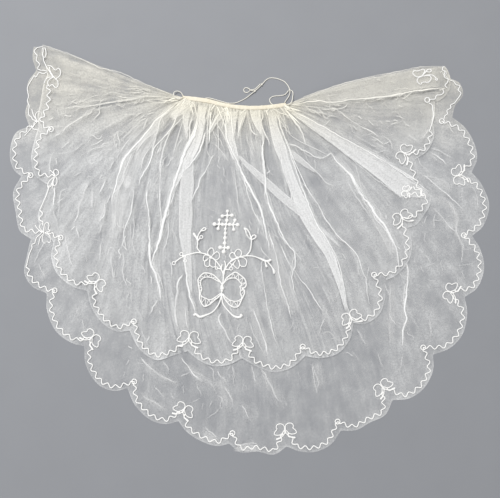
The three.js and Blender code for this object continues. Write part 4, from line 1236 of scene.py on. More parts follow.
UPPER_PANELS = [Panel(*fold) for fold in [
    ([(192, 102, 6.5), (186, 105, 6.5), (178, 112, 5.5), (169, 120, 4)], 3.4),
    ([(176, 107, 2.5), (168, 114, 3.5), (159, 123, 4), (152, 132, 3), (146, 139, 2.4), (140, 146, 2.2),
      (134, 152, 1.5)], 1.8),
    ([(134, 154, 1.6), (127.5, 163, 3.4), (124.5, 172, 4), (122.5, 180, 3.4), (119.5, 188, 1.6),
      (117, 196, 0.5)], 1.7),
    ([(115, 191, 3), (117, 202, 4.5), (117.5, 215, 4.5), (118, 232, 3.5)], 0.8),
    ([(178, 106, 3), (165, 119, 4), (153, 134, 5), (143, 150, 5.5), (137, 166, 3)], 1.0),
    ([(188, 104, 6), (186.5, 114, 3.8), (186, 124, 2.4), (187, 134, 1.1), (187.5, 143, 0.2)], 2.5),
    ([(203, 106, 4.5), (201.5, 116, 4), (200, 127, 5), (197, 137, 5.5), (192.5, 148, 6.5), (187, 160, 5.5),
      (181, 174, 2.8), (174, 190, 1.4), (168, 208, 0.5)], 3.4),
    ([(190, 150, 3), (188.5, 165, 5.5), (187, 185, 6.5), (186, 200, 6.5), (186, 215, 7), (185.5, 235, 6),
      (187, 250, 4.5), (188.3, 265, 3.5), (189.7, 280, 2.4), (191, 296, 1.4)], 1.9),
    ([(224, 113, 2.5), (219, 118, 3), (215, 124, 2), (211, 131, 1.8), (208, 136, 1)], 2.5),
    ([(232, 112, 6), (231, 124, 5.5), (230, 138, 4.5), (233, 150, 4), (237, 163, 2.5)], 3),
    ([(243, 112, 3.5), (241.8, 120, 2.6), (240, 128, 1.5), (238.5, 136, 0.6), (237.5, 142, 0.1)], 2.5),
    ([(255, 111, 5.4), (256.5, 120, 4.6), (258.5, 127, 3), (260.5, 133, 1.2), (262, 139, 0.2)], 3),
    ([(255, 140, 6), (256, 155, 6), (258, 172, 6), (262, 186, 4)], 0.6),
    ([(272, 112, 4), (273, 124, 4), (276, 136, 5), (280, 148, 6), (284, 160, 4.6), (288.5, 172, 4.4),
      (293, 185, 4.8), (298, 198, 5.6), (304, 211, 7), (311, 225, 6), (320, 240, 5.4), (328, 252, 5),
      (334, 268, 3.6), (339, 283, 2.6), (343, 298, 1.8), (346.5, 312, 1)], 2.7),
    ([(238, 154.5, 0.2), (241, 159, 0.9), (246.5, 165.5, 2), (256, 174, 3.1), (268, 184.5, 3.9),
      (280, 195.5, 4.2), (292, 205.5, 4.2), (303, 215, 3.5), (315, 225.5, 2.4), (325, 233.5, 1.5),
      (334, 241.5, 0.8), (341, 249, 0.2)], 2),
    ([(286, 148, 0.6), (296, 158, 2.6), (306, 165.5, 2.4), (318, 175, 0.5)], 1.6),
    ([(269, 232, 3), (274, 250, 4.5), (280, 270, 6), (286, 290, 7), (292, 305, 6), (297, 316, 3)], 0.7),
    ([(250, 290, 3), (254, 310, 4), (259, 330, 5), (265, 350, 4)], 0.6),
    ([(181, 290, 4), (182, 305, 6), (182, 320, 6.5), (184, 334, 6)], 0.7),
    ([(330, 290, 6), (331, 310, 9), (330, 330, 9)], 0.3),
    ([(290, 111.5, 1.4), (300, 119, 2), (320, 132, 4.2), (339, 143.5, 6), (352, 151.5, 7.6), (370, 163, 9),
      (385, 173, 10.4), (400, 183.5, 12.3), (407, 188.5, 12.6), (410, 190.5, 12.6)], 2.3, 3),
    ([(402, 187.5, 9), (410, 190, 8), (420, 193.5, 5.5), (429, 196.5, 2)], 1.4),
    ([(305, 101, 1.5), (320, 97.5, 4.5), (339, 94.5, 8), (360, 90, 10), (385, 86.5, 11), (414, 81, 11),
      (440, 78, 11)], 0.9, 1),
    ([(335, 155, 2), (347, 170, 3), (358, 185, 4), (368, 203, 5), (378, 220, 5.5), (388, 240, 5),
      (394, 258, 3)], 0.9),
]]
UPPER_GAPS = [Panel(*fold) for fold in [
    ([(198.3, 104.5, 0.7), (196.8, 110, 1), (197.2, 116, 0.7)], 0.8),
    ([(193.5, 122, 1), (192, 128, 1.3), (192, 133, 0.6)], 0.9),
    ([(205.5, 112, 0.7), (206.5, 117, 1), (208.3, 122, 0.6)], 0.7),
    ([(213.3, 112, 1), (213.8, 118, 1.2), (213, 124, 0.7)], 0.9),
    ([(216, 126, 1.2), (218.5, 133, 3.4), (222, 142, 4.6), (225, 151, 4)], 0.95),
    ([(173.5, 124, 1.5), (163, 134, 2)], 0.8),
    ([(178, 130, 4.5), (175, 140, 5), (172, 152, 5)], 0.9),
    ([(245.5, 118, 1), (244.8, 126, 3), (244.3, 136, 4), (245.5, 148, 3.5)], 0.8),
    ([(265, 114, 1.4), (265.6, 121, 2.2), (265, 128, 1.2)], 0.6),
    ([(265.3, 139, 0.8), (266.3, 147, 2), (268.5, 158, 4.5), (273, 170, 7), (278, 182, 6)], 0.95),
    ([(273.4, 129, 0.8), (273.7, 134, 1.3), (274, 139, 0.8)], 0.7),
    ([(288, 120, 1.2), (291, 128, 4), (294.5, 138, 6)], 0.95),
    ([(222, 165, 8), (220, 185, 14), (217, 205, 16)], 0.8),
]]
UPPER_THINNESS = 0.38
UPPER_REST = 0.0034
UPPER_PEAK = 0.0125

upper = Tier(UPPER_HEM, UPPER_LINES)
upper.thin = 0.35
upper.wing = wing_warmth(upper.plan, upper.distance)
# the net crowds towards the left, by the band and in the rolled hem
left_side = smooth(-upper.plan[..., 0], 0.02, 0.2)
upper.layers = (0.8 + 0.25 * left_side + 2.2 * np.exp(-upper.distance / 0.013)
                + 0.9 * smooth(upper.share, 0.988, 1))
swell_net(upper, UPPER_CREASES, UPPER_PANELS, UPPER_GAPS)
upper.height = UPPER_REST + np.minimum(upper.height, UPPER_PEAK) * smooth(upper.distance, 0.006, 0.05)
upper_net = net_mesh("short_tier_net", upper, tulle("short_tier_net", UPPER_THINNESS, 1.0))
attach(upper_net, "root")
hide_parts("upper_tier")
upper_ground = Ground(upper_net)
upper_strips = charted(UPPER_CREASES, UPPER_PANELS, 5) + gathers(upper, 9, 95, 3.0, 0.04, 0.75)
upper_strips += wrinkles(upper, 22, 300, 1.8, 0.35)
upper_folds = net_folds("short_tier_folds", upper_ground, upper_strips,
                        tulle_fold("short_tier_folds", UPPER_THINNESS))

# The hem cords
# A chain-stitched white cord runs in waves inside each cut edge. Where two scallops meet it passes
# into a small bow or turns in a ring.
CHAIN = 0.0021
WAVE = 8.7 * UNIT
WAVE_HEIGHT = 1.75 * UNIT
HEM_INSET = 4.6 * UNIT
THREAD_SIDES = 6
CHAIN_LINK = 0.0028
RING = 2.4 * UNIT
BOW_LOOP = [(0, 0.8), (1.2, 4), (4, 5.4), (7.2, 4.6), (8.2, 2.4), (7.6, 0.6), (9.6, -1.6), (10.6, -4),
            (8, -5.2), (4, -4.6), (1, -1.2), (0, 0)]
BOW_TAIL = [(0, -1), (1.2, -4.6), (4.5, -7.6), (9, -9)]
BOW_KNOT = [(0, 2), (0, -4)]
BOW_SIZES = {(189.5, 337): 1.1, (285, 429): 1.05}
BOW_ASIDE = 2.5  # from a bow's place to where the cord meets its tails, on the chart
BOW_DOWN = 4.5
HEM_STEPS = 10
HEM_TRIM = 7  # steps left out by each of a scallop's marks
HEM_STRIDE = 6
PATTERN_STEPS = 6
RING_STEPS = 24
WAVE_STEPS = 24
CHAIN_WAIST = 0.82  # between its links, and how far it swells at each
CHAIN_SWELL = 0.18
CHAIN_SQUASH = 0.7
CHAIN_LIFT = 0.3  # of its middle off the net, as a share of its thickness
CHAIN_EASE = 4  # points on either side that even out its height
FAT_END = 0.8
FAT_FROM = 0.55
FAT_FULLY = 0.85


def stitched(name, pale, painted_link_shade):
    """Cotton thread in chain stitch, with painted shade in the hollows of its stitch pattern"""
    surface = Surface(name, Roughness=0.65, Sheen_Weight=0.4)
    wave = surface.node("ShaderNodeTexWave", {"wave_type": "BANDS", "bands_direction": "X"},
                        {"Vector": surface.scaled(surface.uv("thread"), (1 / CHAIN_LINK, 1.0, 1.0)),
                         "Scale": 0.5, "Distortion": 1.0}, out="Fac")
    # the hollows of the bumped stitch pattern take the darker colour: painted shade
    surface.feed("Base Color", surface.mix(wave, painted_link_shade, pale))
    surface.bump(wave, 0.0004, 0.5)
    return surface.material


# the second colour is painted shade for the hollows between the chain's links
stitch_finish = stitched("chain_stitch", (0.97, 0.965, 0.95), (0.88, 0.87, 0.84))


def chain(ground, plan, thick=CHAIN, fat_end=False):
    """A chain stitch along a plan line, as a thread that swells at each link"""
    way = along(plan)
    count = max(4, int(way[-1] / (CHAIN_LINK / 4)))
    plan = pick(plan, np.linspace(0, 1, count + 1))
    way = np.linspace(0, way[-1], count + 1)
    radius = thick / 2 * (CHAIN_WAIST + CHAIN_SWELL * np.abs(np.sin(math.pi * way / CHAIN_LINK)))
    if fat_end:
        radius = radius * (1 + FAT_END * smooth(way, way[-1] * FAT_FROM, way[-1] * FAT_FULLY))
    line = ground.on(plan, thick * CHAIN_LIFT)
    window = 2 * CHAIN_EASE + 1
    kernel = np.ones(window) / window
    line[:, 2] = np.convolve(np.pad(line[:, 2], CHAIN_EASE, mode="edge"), kernel, mode="valid")
    return tube(line, radius, THREAD_SIDES, CHAIN_SQUASH)


def thread_ring(ground, middle, radius, thick=CHAIN, steps=RING_STEPS):
    """A ring of chain stitch round a place on the chart"""
    turn = np.linspace(0, 2 * math.pi, steps + 1)
    ring = np.array(middle) + radius * np.stack([np.cos(turn), np.sin(turn)], -1)
    return chain(ground, laid(ring), thick)


def inset_line(here, there):
    """The middle of the hem cord along one scallop, in chart places, from mark to mark"""
    edge = smooth_line([here.cusp, here.rise, here.crown, here.fall, there.cusp], HEM_STEPS)
    inner = edge - leftward(edge) * HEM_INSET / UNIT
    start = np.array([here.at or here.cusp], float)
    end = np.array([there.at or there.cusp], float)
    middle = inner[HEM_TRIM:-HEM_TRIM:HEM_STRIDE]
    return start, middle, end


def waves(line):
    """The same line with even waves in it, which die away at its two ends"""
    way = along(line)
    count = max(1, round(way[-1] / (WAVE / UNIT)))
    fine = np.linspace(0, 1, count * WAVE_STEPS + 1)
    smooth_points = pick(line, fine)
    swing = np.sin(2 * math.pi * count * fine) * smooth(fine, 0, 0.5 / count)
    swing *= 1 - smooth(fine, 1 - 0.5 / count, 1)
    return smooth_points + leftward(smooth_points) * (swing * WAVE_HEIGHT / UNIT)[:, None]


def turned(points, middle, inward, size, flip=1):
    """Points of a small pattern, set at a place on the chart with its top towards inward"""
    points = np.asarray(points, float) * size
    across = np.array([-inward[1], inward[0]]) * flip
    return np.asarray(middle) + points[:, :1] * across + points[:, 1:] * inward


def little_bow(ground, middle, inward, size):
    """Two looped threads, two tails and a knot, as parts"""
    parts = []
    for flip in (-1, 1):
        loop = smooth_line(turned(BOW_LOOP, middle, inward, size, flip), PATTERN_STEPS)
        parts.append(chain(ground, laid(loop), CHAIN * 0.9))
        tail = smooth_line(turned(BOW_TAIL, middle, inward, size, flip), PATTERN_STEPS)
        parts.append(chain(ground, laid(tail), CHAIN * 0.95, True))
    knot = smooth_line(turned(BOW_KNOT, middle, inward, size), 4)
    parts.append(chain(ground, laid(knot), CHAIN * 1.7))
    return parts


def add_hem_cord(name, hem, ground, rerouted, extras, threads):
    """The cord inside a hem, but for the scallops where it is rerouted, with its bows, rings and threads"""
    parts = []
    for number, (here, there) in enumerate(zip(hem, hem[1:])):
        if number in rerouted:
            parts += [chain(ground, laid(waves(smooth_line(line, HEM_STEPS)))) for line in rerouted[number]]
            continue
        start, middle, end = inset_line(here, there)
        step = end[0] - start[0]
        step /= np.linalg.norm(step)
        if here.mark == "bow":
            start += step * BOW_ASIDE - here.inward * BOW_DOWN
        if there.mark == "bow":
            end -= step * BOW_ASIDE + there.inward * BOW_DOWN
        line = smooth_line(np.vstack([start, middle, end]), HEM_STEPS)
        parts.append(chain(ground, laid(waves(line))))
    for scallop in hem:
        if scallop.mark == "ring":
            parts.append(thread_ring(ground, scallop.at, RING / UNIT))
        if scallop.mark == "bow":
            parts += little_bow(ground, scallop.at, scallop.inward, BOW_SIZES.get(scallop.at, 1.0))
    for middle, inward, size in extras:
        parts += little_bow(ground, middle, np.array(inward) / math.hypot(*inward), size)
    parts += [chain(ground, laid_line(thread, PATTERN_STEPS), CHAIN * 0.9) for thread in threads]
    piece = joined(name, parts, stitch_finish)
    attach(piece, "root")
    return piece


# Threads charted one by one: the cord at the corners and where the net is rolled at its edge, and
# the bows that lie twisted
LONG_TIER_THREADS = [
    # the left corner and edge
    [(43.2, 46.4), (40.5, 47.2), (37.9, 48), (35.7, 49.8), (34.5, 51.6), (35.7, 53.7), (37.5, 55.9),
     (36.8, 58.7), (36.8, 61.2), (38.9, 63), (40, 65.1), (38.6, 67.3), (38.2, 69.4), (40.7, 70.5),
     (44.3, 70.9), (47.9, 71.9)],
    [(48.6, 76.6), (47.1, 73), (43.9, 74.1), (39.3, 73), (37.9, 75.1), (36.1, 77.6), (34.6, 76.2),
     (32.9, 78.7), (29.8, 83.7), (27.8, 87.8), (28.1, 92.3), (28.9, 96.7), (27.8, 101.1), (29.6, 106.7),
     (28.9, 111.1), (29.4, 115.6), (31.7, 117.2), (33.3, 120), (37.5, 121.5)],
    # the bow at its second notch
    [(37.8, 121.7), (35.6, 116.7), (37.2, 112.8), (41.1, 112.2), (41.7, 116.7), (40, 121.1), (38, 121.7)],
    [(38, 121.7), (40, 123.3), (42.2, 127.8), (41.1, 131.7), (37.2, 130), (33.9, 129.4), (31.7, 125.6)],
    [(37.8, 121.7), (33.9, 115.6), (32.2, 109.4)], [(38.5, 121), (33.3, 126.7), (29.4, 131.1), (25, 136.1)],
    # the bow at its fourth notch, and the rolled edge below it
    [(44.3, 232.5), (41.5, 230), (39.8, 226.5), (41.5, 223.8), (44.5, 224.8), (46, 228), (44.8, 232)],
    [(44.5, 233), (39, 230), (35.5, 225.5)], [(44, 233.5), (40.5, 238), (39, 244.5)],
    [(42, 233), (40, 235), (37.5, 237), (36, 240), (35, 243.5), (32.5, 244.5), (32.3, 248), (29.8, 254),
     (27.3, 264)],
    # the right corner
    [(440, 72.9), (442.6, 71.2), (444.9, 71.2), (446.2, 73), (445.2, 74.9), (443, 74.6), (442.6, 72.6)],
    [(444.2, 75), (446.7, 77.5), (450, 80.8), (453.3, 81.7), (455.8, 85), (459.6, 86.3), (457.9, 90.4),
     (460.6, 93.3), (459.2, 96.7), (456.7, 100), (454, 103.5), (450.4, 105.4), (450.4, 108.3), (446.7, 110.8),
     (447.1, 114.2), (444.6, 116.3), (443.8, 119.2)],
]
SHORT_TIER_THREADS = [
    # the left corner and its bow
    [(43.9, 48.7), (44.1, 52.3), (43.6, 55.9), (44.3, 58), (44.6, 61.6), (46.1, 65.1), (47.9, 68.7),
     (50.7, 73), (53.6, 77.3), (55.5, 79)],
    [(45.7, 48.7), (46.8, 52.3), (46.8, 56.6), (45.4, 58.7)],
    [(48.6, 66.6), (52.1, 67.3), (56.4, 71.2), (59.3, 69.4), (61.4, 72.3), (60.7, 76.6), (57.1, 79.8)],
    [(50.3, 68), (51.2, 72.3), (53.6, 76.6), (55.7, 79.4)],
    [(55.7, 79.4), (58.6, 82.3), (58.6, 87.3), (56.4, 88.7), (52.9, 85.5), (50.4, 87.3), (48.6, 83.7),
     (50, 80.9), (53.6, 78.7)],
    [(54.3, 78), (49.3, 78.7), (46.4, 80.9), (45, 84.4)],
    # the small bow at its third notch, and the straight edge below it
    [(56, 176), (54.5, 172), (56.5, 170), (59, 171.5), (59.5, 174.5), (56.5, 176.5)],
    [(56, 176), (53.5, 173), (51.2, 171)],
    [(55.5, 177), (51, 181), (49, 184), (49, 188), (51.5, 187), (53.5, 182), (55.5, 178)],
    [(56.5, 177), (58, 181), (57, 185), (55, 186.5), (54, 183), (55.5, 178)],
    [(54.5, 179), (53.5, 185), (53, 189.5)],
    [(50, 186), (49.3, 190), (46.8, 197), (44.3, 202.5), (42.3, 207)],
    # two loops of the long tier's bow, which show at the edge there
    [(44.8, 232.3), (45, 227.5), (46.2, 223.8), (48.8, 223.2), (50, 226), (49.2, 229.5), (51, 231.2),
     (46, 233)],
    [(44.5, 233.5), (42.6, 237), (42.8, 241), (45, 243.5), (46.8, 241.2), (49.5, 242.8), (51.2, 239),
     (50.2, 235.5), (46, 233.2)],
    # the bow on the folded corner at the right: its loops, then its tails
    [(421.1, 77.2), (416.1, 78.1), (412.2, 74.6), (413.3, 71.9), (416.7, 72.2), (420, 71.2), (423, 70.4),
     (424.1, 72), (422.2, 75.6), (420.8, 77.4)],
    [(420.8, 77.8), (417.8, 78.9), (416.3, 81.7), (417.8, 84.4), (420, 85.4), (421.1, 83.9), (423.9, 83.2),
     (426.7, 83.6), (428.9, 82.2), (430.3, 79.4), (429.4, 77.2), (426.7, 76.7), (421, 77.4)],
    [(420.8, 77.2), (424.4, 73.9), (425.8, 71.8), (427.8, 70.4), (430.1, 70.7), (430.3, 72.4), (428.3, 73.2),
     (425.8, 72.6)],
    [(422.2, 77.2), (427.2, 76.1), (431.1, 76.1), (433.3, 77.2), (435, 78.9), (436.6, 80), (435.8, 81.4),
     (434.4, 80)],
    # the cord at the right corner, above and below the fold, and the straight edge under it
    [(442.5, 67.5), (441.7, 70.8), (444.2, 72.9), (443.3, 75.8), (444.2, 78.8), (447.1, 80), (446.7, 83.3),
     (444.2, 86.3), (445.8, 88.8)],
    [(441.7, 90.4), (442.9, 93.3), (440, 95.8), (435.8, 96.3), (434.2, 100), (430, 100.4), (428, 101)],
    [(428.3, 104.2), (431.2, 105.8), (431.8, 110), (432.3, 113), (432.4, 117.5), (431, 125), (429.5, 129)],
]
# Scallops whose cord runs another way, by their number from the left, and the waved lines in them
LONG_TIER_REROUTED = {
    0: [], 1: [], 17: [], 18: [],
    4: [[(27.3, 264), (28.5, 272), (33, 280), (41, 286), (50, 290), (55, 290.5)]],
}
SHORT_TIER_REROUTED = {
    0: [], 15: [], 16: [],
    1: [[(48, 86), (49.5, 92), (49.6, 99), (48.5, 107), (46, 113), (43, 118.5), (42.5, 123), (46, 127),
         (52, 130)]],
    3: [[(42.3, 207), (41.8, 213), (42, 220), (44, 226)], [(48, 232), (53, 235), (58, 237), (61.5, 238)]],
    12: [[(403.5, 218), (413, 216.5), (420, 210), (425, 202.5), (425.5, 197.5), (417, 195.5),
          (407.5, 193.5)]],
    14: [[(405.5, 155), (413, 154.4), (422, 150.5), (427.5, 143), (429.5, 136), (429.5, 129)]],
}
TURNED_BOW = ((404.5, 192), (-1, -0.2), 0.6)  # its place, the way its top points, and its size
add_hem_cord("long_tier_hem_cord", LOWER_HEM, lower_ground, LONG_TIER_REROUTED, [], LONG_TIER_THREADS)
add_hem_cord("short_tier_hem_cord", UPPER_HEM, upper_ground, SHORT_TIER_REROUTED, [TURNED_BOW],
             SHORT_TIER_THREADS)

# The embroidery on the upper tier
# A budded cross of padded dots between two open flowers, sprays that curl away from them, and below
# them a bow with ladder stitches in its loops, all in the same chain stitch.
CROSS_DOTS = [
    # x, y, radius
    (227.6, 211.6, 1.7), (222.5, 216.5, 1.9), (227.5, 216, 1.7), (232.1, 215.8, 2), (227, 220.8, 1.9),
    (219.5, 220.4, 1.7), (214.7, 224.6, 2.2), (219.4, 224.4, 1.6), (218.3, 229.2, 1.8), (222.7, 225, 1.9),
    (226, 225, 1.8), (229.8, 225, 2), (233.1, 225.2, 1.5), (235.1, 220.6, 1.8), (237.7, 225.2, 2.1),
    (233.8, 230, 1.8), (225.5, 229.2, 1.5), (225.5, 233.5, 1.7), (225.1, 238.3, 2), (224.8, 243.5, 2),
    (224.8, 247.9, 1.5), (220.4, 247.9, 2.2), (228.3, 248.1, 2.1), (223.8, 252.1, 2.2),
]
CROSS_THREADS = [
    [(227.6, 211), (227.5, 216), (227, 221), (226.3, 225), (225.6, 229), (225.1, 238.3), (224.8, 248),
     (223.8, 252)],
    [(222.5, 216.3), (227.5, 216), (232.1, 215.8)],
    [(214.7, 224.8), (222.7, 225), (229.8, 225), (237.7, 225.2)],
    [(219.5, 220.4), (219.4, 224.4), (218.3, 229.2)], [(235.1, 220.6), (233.5, 225), (233.8, 230)],
    [(220.4, 247.9), (224.5, 248.4), (228.3, 248.1)],
]
PETALS = [
    [(209, 256), (208, 253.5), (208.7, 250.5), (211.9, 248.3), (214, 251), (214, 253.5), (212.5, 256)],
    [(212.3, 255.8), (214.6, 253.8), (217.3, 252.1), (219.4, 254), (219.6, 257.3), (218.1, 259.4),
     (215.8, 260.2), (213, 258.6)],
    [(213.5, 258.9), (215.8, 260.8), (215.6, 263.9), (215.8, 266.2), (213.5, 267.5), (210.8, 266.2),
     (210, 265), (210.2, 259.6)],
    [(210, 259.6), (209.8, 264.6), (209.2, 266.4), (207.3, 266.9), (205.2, 265.4), (204.8, 263.1),
     (205, 261.5), (207.7, 259.6)],
    [(208.5, 258.8), (205.8, 261.3), (204, 261), (203.5, 258.8), (204.6, 255.8), (206.9, 255.4),
     (208.8, 256.2)],
    [(236.2, 256.9), (234.8, 253.5), (236.2, 250.8), (238.3, 249.6), (240.4, 250.6), (241.5, 252.7),
     (241.2, 255.4), (239.6, 257.3)],
    [(236.5, 258.1), (234.6, 254.2), (232.9, 252.9), (230.6, 253.8), (229.8, 256.2), (230.8, 258.5),
     (233.1, 259.4), (236, 258.6)],
    [(239.5, 257.7), (242.3, 257.7), (245, 258.8), (246.7, 261.2), (246.3, 264.6), (245.4, 266.3),
     (241.9, 266.7), (240, 265), (239.4, 262.3), (238.5, 260)],
    [(238.1, 260.4), (239.4, 263.1), (239.6, 265.8), (237.9, 268.8), (235.4, 267.3), (233.7, 265),
     (234.2, 262.7), (235.8, 260.8)],
    [(235.6, 259.2), (232.5, 259.8), (230.4, 261.8), (230.6, 264), (233, 264.6)],
]
FLOWER_HEARTS = [(211, 257.7), (237.3, 258.3)]
Spray = namedtuple("Spray", "line bud", defaults=[False])
SPRAYS = [
    Spray([(211, 257.7), (208.5, 255.4), (203.1, 253.7), (197.7, 252.9), (191.9, 254.2), (186.2, 255.8),
           (180.4, 258.7), (175.6, 262.3)]),
    Spray([(200.8, 252.7), (197.7, 248.5), (197.9, 243), (197.1, 238.8), (195.4, 236.2), (193.8, 233.7)],
          True),
    Spray([(198, 240.4), (198.3, 236.2), (200.5, 232.2), (204.2, 228.3), (206.3, 229.2), (204.6, 230.8),
           (201.2, 231.4)]),
    Spray([(200.3, 238.2), (198.3, 241)]),
    Spray([(182.6, 255.6), (184.6, 256.8)]), Spray([(185.4, 259.8), (185.9, 256.5)]),
    Spray([(211, 257.7), (213.8, 259.2), (216.2, 261.5), (218.5, 264.2), (220.4, 266.9), (221.5, 270),
           (222.9, 272.6), (223.5, 277), (223.1, 282.7), (222.5, 285)]),
    Spray([(217.8, 268.6), (221.2, 269.4)]), Spray([(222.3, 264.6), (221.7, 267.3), (221.5, 270)]),
    Spray([(224.6, 261.2), (225.6, 264.2), (225.4, 267.3), (224.2, 271.9), (223.8, 275)], True),
    Spray([(237.3, 258.3), (233, 260.6), (229, 263.6), (226.5, 267.5), (224.8, 271), (223.8, 276)]),
    Spray([(234.2, 262.7), (231.8, 266), (230.5, 267.8)]), Spray([(229.6, 269.6), (226, 269.8)]),
    Spray([(237.3, 258.3), (240.4, 257.1), (246.5, 256.2), (253.1, 256.5), (259.6, 258.7), (265.8, 261.3),
           (268.5, 261.3), (270.6, 260)], True),
    Spray([(265, 261.9), (265.8, 264.6), (266.5, 267.1)], True),
    Spray([(267.3, 261.9), (270, 265), (272.3, 268.1), (273.8, 271.2), (274, 273.5)], True),
    Spray([(246.5, 255.8), (250, 251.2), (251.2, 245), (251.2, 239.8), (248.5, 238), (246.6, 234.5),
           (245.4, 230.6), (244.2, 228.5), (247, 229.8), (249.6, 233.6), (251.2, 239.2)]),
    Spray([(251.4, 239.4), (251.9, 236.9), (254.2, 235.4), (256, 236.5), (255.2, 238.3), (251.6, 240)]),
]
# x, y, radius
RINGS = [(174.2, 263.5, 1.6), (181.7, 254.4, 1.6), (185.6, 261.2, 1.4), (201.5, 237.4, 1.5),
         (216.7, 268.4, 1.2), (231.1, 268.8, 1.6)]
BOW_KNOT_DOTS = [(222.3, 288.5, 2.1), (222.1, 286.5, 1.6), (222, 290.9, 1.4)]
BOW_LOOPS = [
    # an outer thread and an inner thread for each loop
    ([(222.3, 285), (220.8, 282.5), (218.3, 279.6), (213.3, 275), (207.9, 273.3), (204.6, 273.3),
      (202.1, 274.8), (198.5, 279.6), (198.7, 284), (199.6, 290.4), (199.8, 295), (200.2, 299.6),
      (202.9, 305), (204.8, 306.5), (210, 304.4), (214.6, 300.4), (219.6, 296.3), (221.9, 292.5)],
    [(220, 282.5), (217.1, 280.8), (211.3, 277.9), (205.4, 277.5), (201.3, 280.4), (201.3, 286.3),
     (202.1, 288.8), (200.8, 294.2), (202.9, 297.1), (205.8, 298.3), (209.2, 299.8), (212.5, 299.2),
     (217.9, 295.4), (220.4, 293.8)]),
    ([(222.7, 285), (224.6, 282.1), (226.7, 278.3), (231.3, 274.6), (235.6, 272.5), (240.4, 275.4),
      (245, 279.6), (246.3, 285), (245, 287.5), (242.1, 289.2), (244.2, 290), (244.6, 293.3), (242.1, 298.8),
      (237.9, 306.7), (232.1, 306.7), (227.1, 302.1), (225, 299.2), (222.5, 293.8)],
    [(224.2, 283.3), (226.7, 280.4), (229.2, 279), (235, 278.3), (237.9, 280), (241.7, 285), (240, 286.7),
     (240.8, 289.6), (240.4, 293.3), (241.7, 298.3), (239.2, 300.4), (235.8, 301.5), (229.6, 300),
     (225.4, 296.7), (223.3, 294.2)]),
]
LADDER_RUNGS = 27
BOW_TAILS = [
    [(221.7, 293.3), (221, 298.3), (217.9, 305.8), (212.5, 312.1), (205.4, 315.4), (200, 316.9),
     (195.8, 314.2), (194.4, 315.2)],
    [(221.9, 293.8), (222.1, 298.3), (223.3, 304.2), (228.3, 310.8), (234.2, 316.3), (239.2, 317.3),
     (241.7, 315.4), (240.4, 314.6)],
]
SMALL_RING_STEPS = 18
STEM_CHAIN = 1.45 * UNIT
PETAL_CHAIN = 1.1 * UNIT
LADDER_CHAIN = 0.7 * UNIT
HEART = 1.8


def dome(ground, middle, radius, sides=10, rings=3):
    """A padded dot of satin stitch"""
    x, y = laid(middle)
    base = ground.on([(x, y)], 0)[0]
    points, faces, uvs = [base + (0, 0, radius * 0.7)], [], []
    for k in range(1, rings + 1):
        tilt = k / rings * math.pi / 2
        for n in range(sides):
            turn = 2 * math.pi * n / sides
            off = (math.cos(turn) * math.sin(tilt), math.sin(turn) * math.sin(tilt), 0.7 * math.cos(tilt))
            points.append(base + np.array(off) * radius)
    points.append(base - (0, 0, radius * 0.1))
    for n in range(sides):
        m = (n + 1) % sides
        faces.append((0, 1 + n, 1 + m))
        uvs += [(0, 0)] * 3
        for k in range(rings - 1):
            a, b = 1 + k * sides, 1 + (k + 1) * sides
            faces.append((a + n, b + n, b + m, a + m))
            uvs += [(0.001 * k, 0)] * 4
        last = 1 + (rings - 1) * sides
        faces.append((last + m, last + n, len(points) - 1))
        uvs += [(0, 0)] * 3
    return np.array(points), faces, uvs


def embroidered(points, thick, fat_end=False):
    return chain(upper_ground, laid_line(points, PATTERN_STEPS), thick, fat_end)


motif = [dome(upper_ground, (x, y), radius * UNIT) for x, y, radius in CROSS_DOTS]
motif += [dome(upper_ground, heart, HEART * UNIT) for heart in FLOWER_HEARTS]
motif += [embroidered(thread, STEM_CHAIN) for thread in CROSS_THREADS]
motif += [embroidered(spray.line, STEM_CHAIN, spray.bud) for spray in SPRAYS]
motif += [embroidered(petal, PETAL_CHAIN) for petal in PETALS]
motif += [embroidered(tail, STEM_CHAIN, True) for tail in BOW_TAILS]
motif += [thread_ring(upper_ground, (x, y), radius, PETAL_CHAIN, SMALL_RING_STEPS) for x, y, radius in RINGS]
for outer, inner in BOW_LOOPS:
    outer, inner = laid_line(outer, PATTERN_STEPS), laid_line(inner, PATTERN_STEPS)
    rungs = np.linspace(0.05, 0.95, LADDER_RUNGS)
    ladder = np.where((np.arange(LADDER_RUNGS) % 2 == 0)[:, None], pick(outer, rungs), pick(inner, rungs))
    motif += [chain(upper_ground, outer, STEM_CHAIN), chain(upper_ground, inner, PETAL_CHAIN),
              chain(upper_ground, ladder, LADDER_CHAIN)]
motif += [dome(upper_ground, (x, y), radius * UNIT) for x, y, radius in BOW_KNOT_DOTS]
embroidery = joined("cross_and_bow_embroidery", motif, stitch_finish)
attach(embroidery, "root")

# The gathering band
# A strip of ivory cotton binding folded over the gathered edges of both tiers and puckered a little
# by them. Threads at its ends hold the loops of elastic.
BAND_STEPS = 260
BAND_SECTION = 16
band_low, band_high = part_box("gathering_band")
BAND_HEIGHT = band_high.z - band_low.z
BAND_HALF = 0.0041
BAND_PUCKERS = 60
BAND_RIPPLES = 34
END_SQUEEZE = 0.5  # how flat the band's ends are pressed, and how near its ends that begins
END_SHARPNESS = 24


def band_finish():
    surface = Surface("cotton_binding", Roughness=0.85, Sheen_Weight=0.3)
    weave = surface.node("ShaderNodeTexBrick", {"offset": 0.5},
                         {"Vector": surface.scaled(surface.uv("thread"), (1400.0, 26.0, 1.0)), "Scale": 1.0,
                          "Mortar Size": 0.08, "Color1": (1, 1, 1, 1), "Color2": (0.8, 0.8, 0.8, 1),
                          "Mortar": (0.2, 0.2, 0.2, 1)}, out="Fac")
    blotch = surface.noise(surface.object_place(), 90.0)
    surface.feed("Base Color", surface.mix(blotch, (0.78, 0.70, 0.53), (0.90, 0.85, 0.72)))
    surface.bump(1.0 - weave, 0.0002, 0.5)
    return surface.material


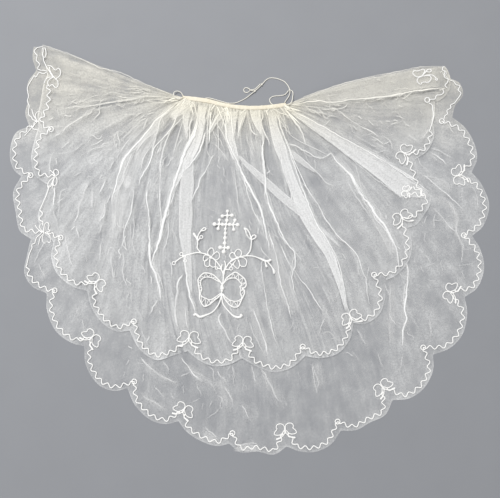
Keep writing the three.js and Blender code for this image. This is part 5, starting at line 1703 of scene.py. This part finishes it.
def band_strip():
    generator = np.random.default_rng(3)
    shares = np.linspace(0, 1, BAND_STEPS + 1)
    middle = pick(band_line, shares)
    away = leftward(middle)
    pucker = wandering(generator, shares, BAND_PUCKERS)
    ripple = wandering(generator, shares, BAND_RIPPLES)
    points, faces, uvs = [], [], []
    way = along(middle)
    for k in range(BAND_STEPS + 1):
        squeeze = 1 - END_SQUEEZE * (abs(2 * shares[k] - 1) ** END_SHARPNESS)
        for n in range(BAND_SECTION):
            turn = 2 * math.pi * n / BAND_SECTION
            across = math.copysign(abs(math.cos(turn)) ** 0.5, math.cos(turn))
            rise = math.copysign(abs(math.sin(turn)) ** 0.6, math.sin(turn))
            taper = (0.35 + 0.65 * smooth(shares[k], 0, 0.07)) * (0.6 + 0.4 * smooth(1 - shares[k], 0, 0.04))
            half = BAND_HALF * (0.92 + 0.14 * ripple[k]) * taper
            top = BAND_HEIGHT / 2 * (0.86 + 0.34 * pucker[k]) if rise > 0 else BAND_HEIGHT / 2
            plan = middle[k] + away[k] * (across * half + 0.8 * BAND_HALF * (1 - taper))
            points.append((*plan, BAND_HEIGHT / 2 + rise * top * squeeze))
    for k in range(BAND_STEPS):
        for n in range(BAND_SECTION):
            m = (n + 1) % BAND_SECTION
            a, b = k * BAND_SECTION, (k + 1) * BAND_SECTION
            faces.append((a + n, a + m, b + m, b + n))
            low, high = n / BAND_SECTION, (n + 1) / BAND_SECTION
            uvs += [(way[k], low), (way[k], high), (way[k + 1], high), (way[k + 1], low)]
    first = list(range(BAND_SECTION))
    last = [BAND_STEPS * BAND_SECTION + n for n in first]
    faces += [tuple(reversed(first)), tuple(last)]
    uvs += [(0, 0)] * (2 * BAND_SECTION)
    return np.array(points), faces, uvs


# Threads that hold the loops to the band's ends: chart places, and their height in mm
LOOP_TACKS = [
    [(182.9, 95.8, 2.6), (184, 97, 2.6), (185.4, 98.2, 2.8)],
    [(182.6, 96.3, 2.2), (183.7, 97.5, 2.3), (185, 98.6, 2.6)],
    [(181.3, 99.9, 6.6), (182.6, 99.2, 5), (184.2, 98.8, 3.4)],
    [(287.7, 106.2, 6.6), (286.3, 106, 5), (284.8, 105.6, 3.4)],
    [(284.2, 103.4, 1.9), (284.2, 104.4, 2.6), (284, 105.4, 3.4)],
]
TACK = 0.0007
tacks = [tube(route(points), TACK, THIN_SIDES) for points in LOOP_TACKS]
band = joined("cotton_binding", [band_strip(), *tacks], band_finish())
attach(band, "root")
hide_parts("gathering_band")
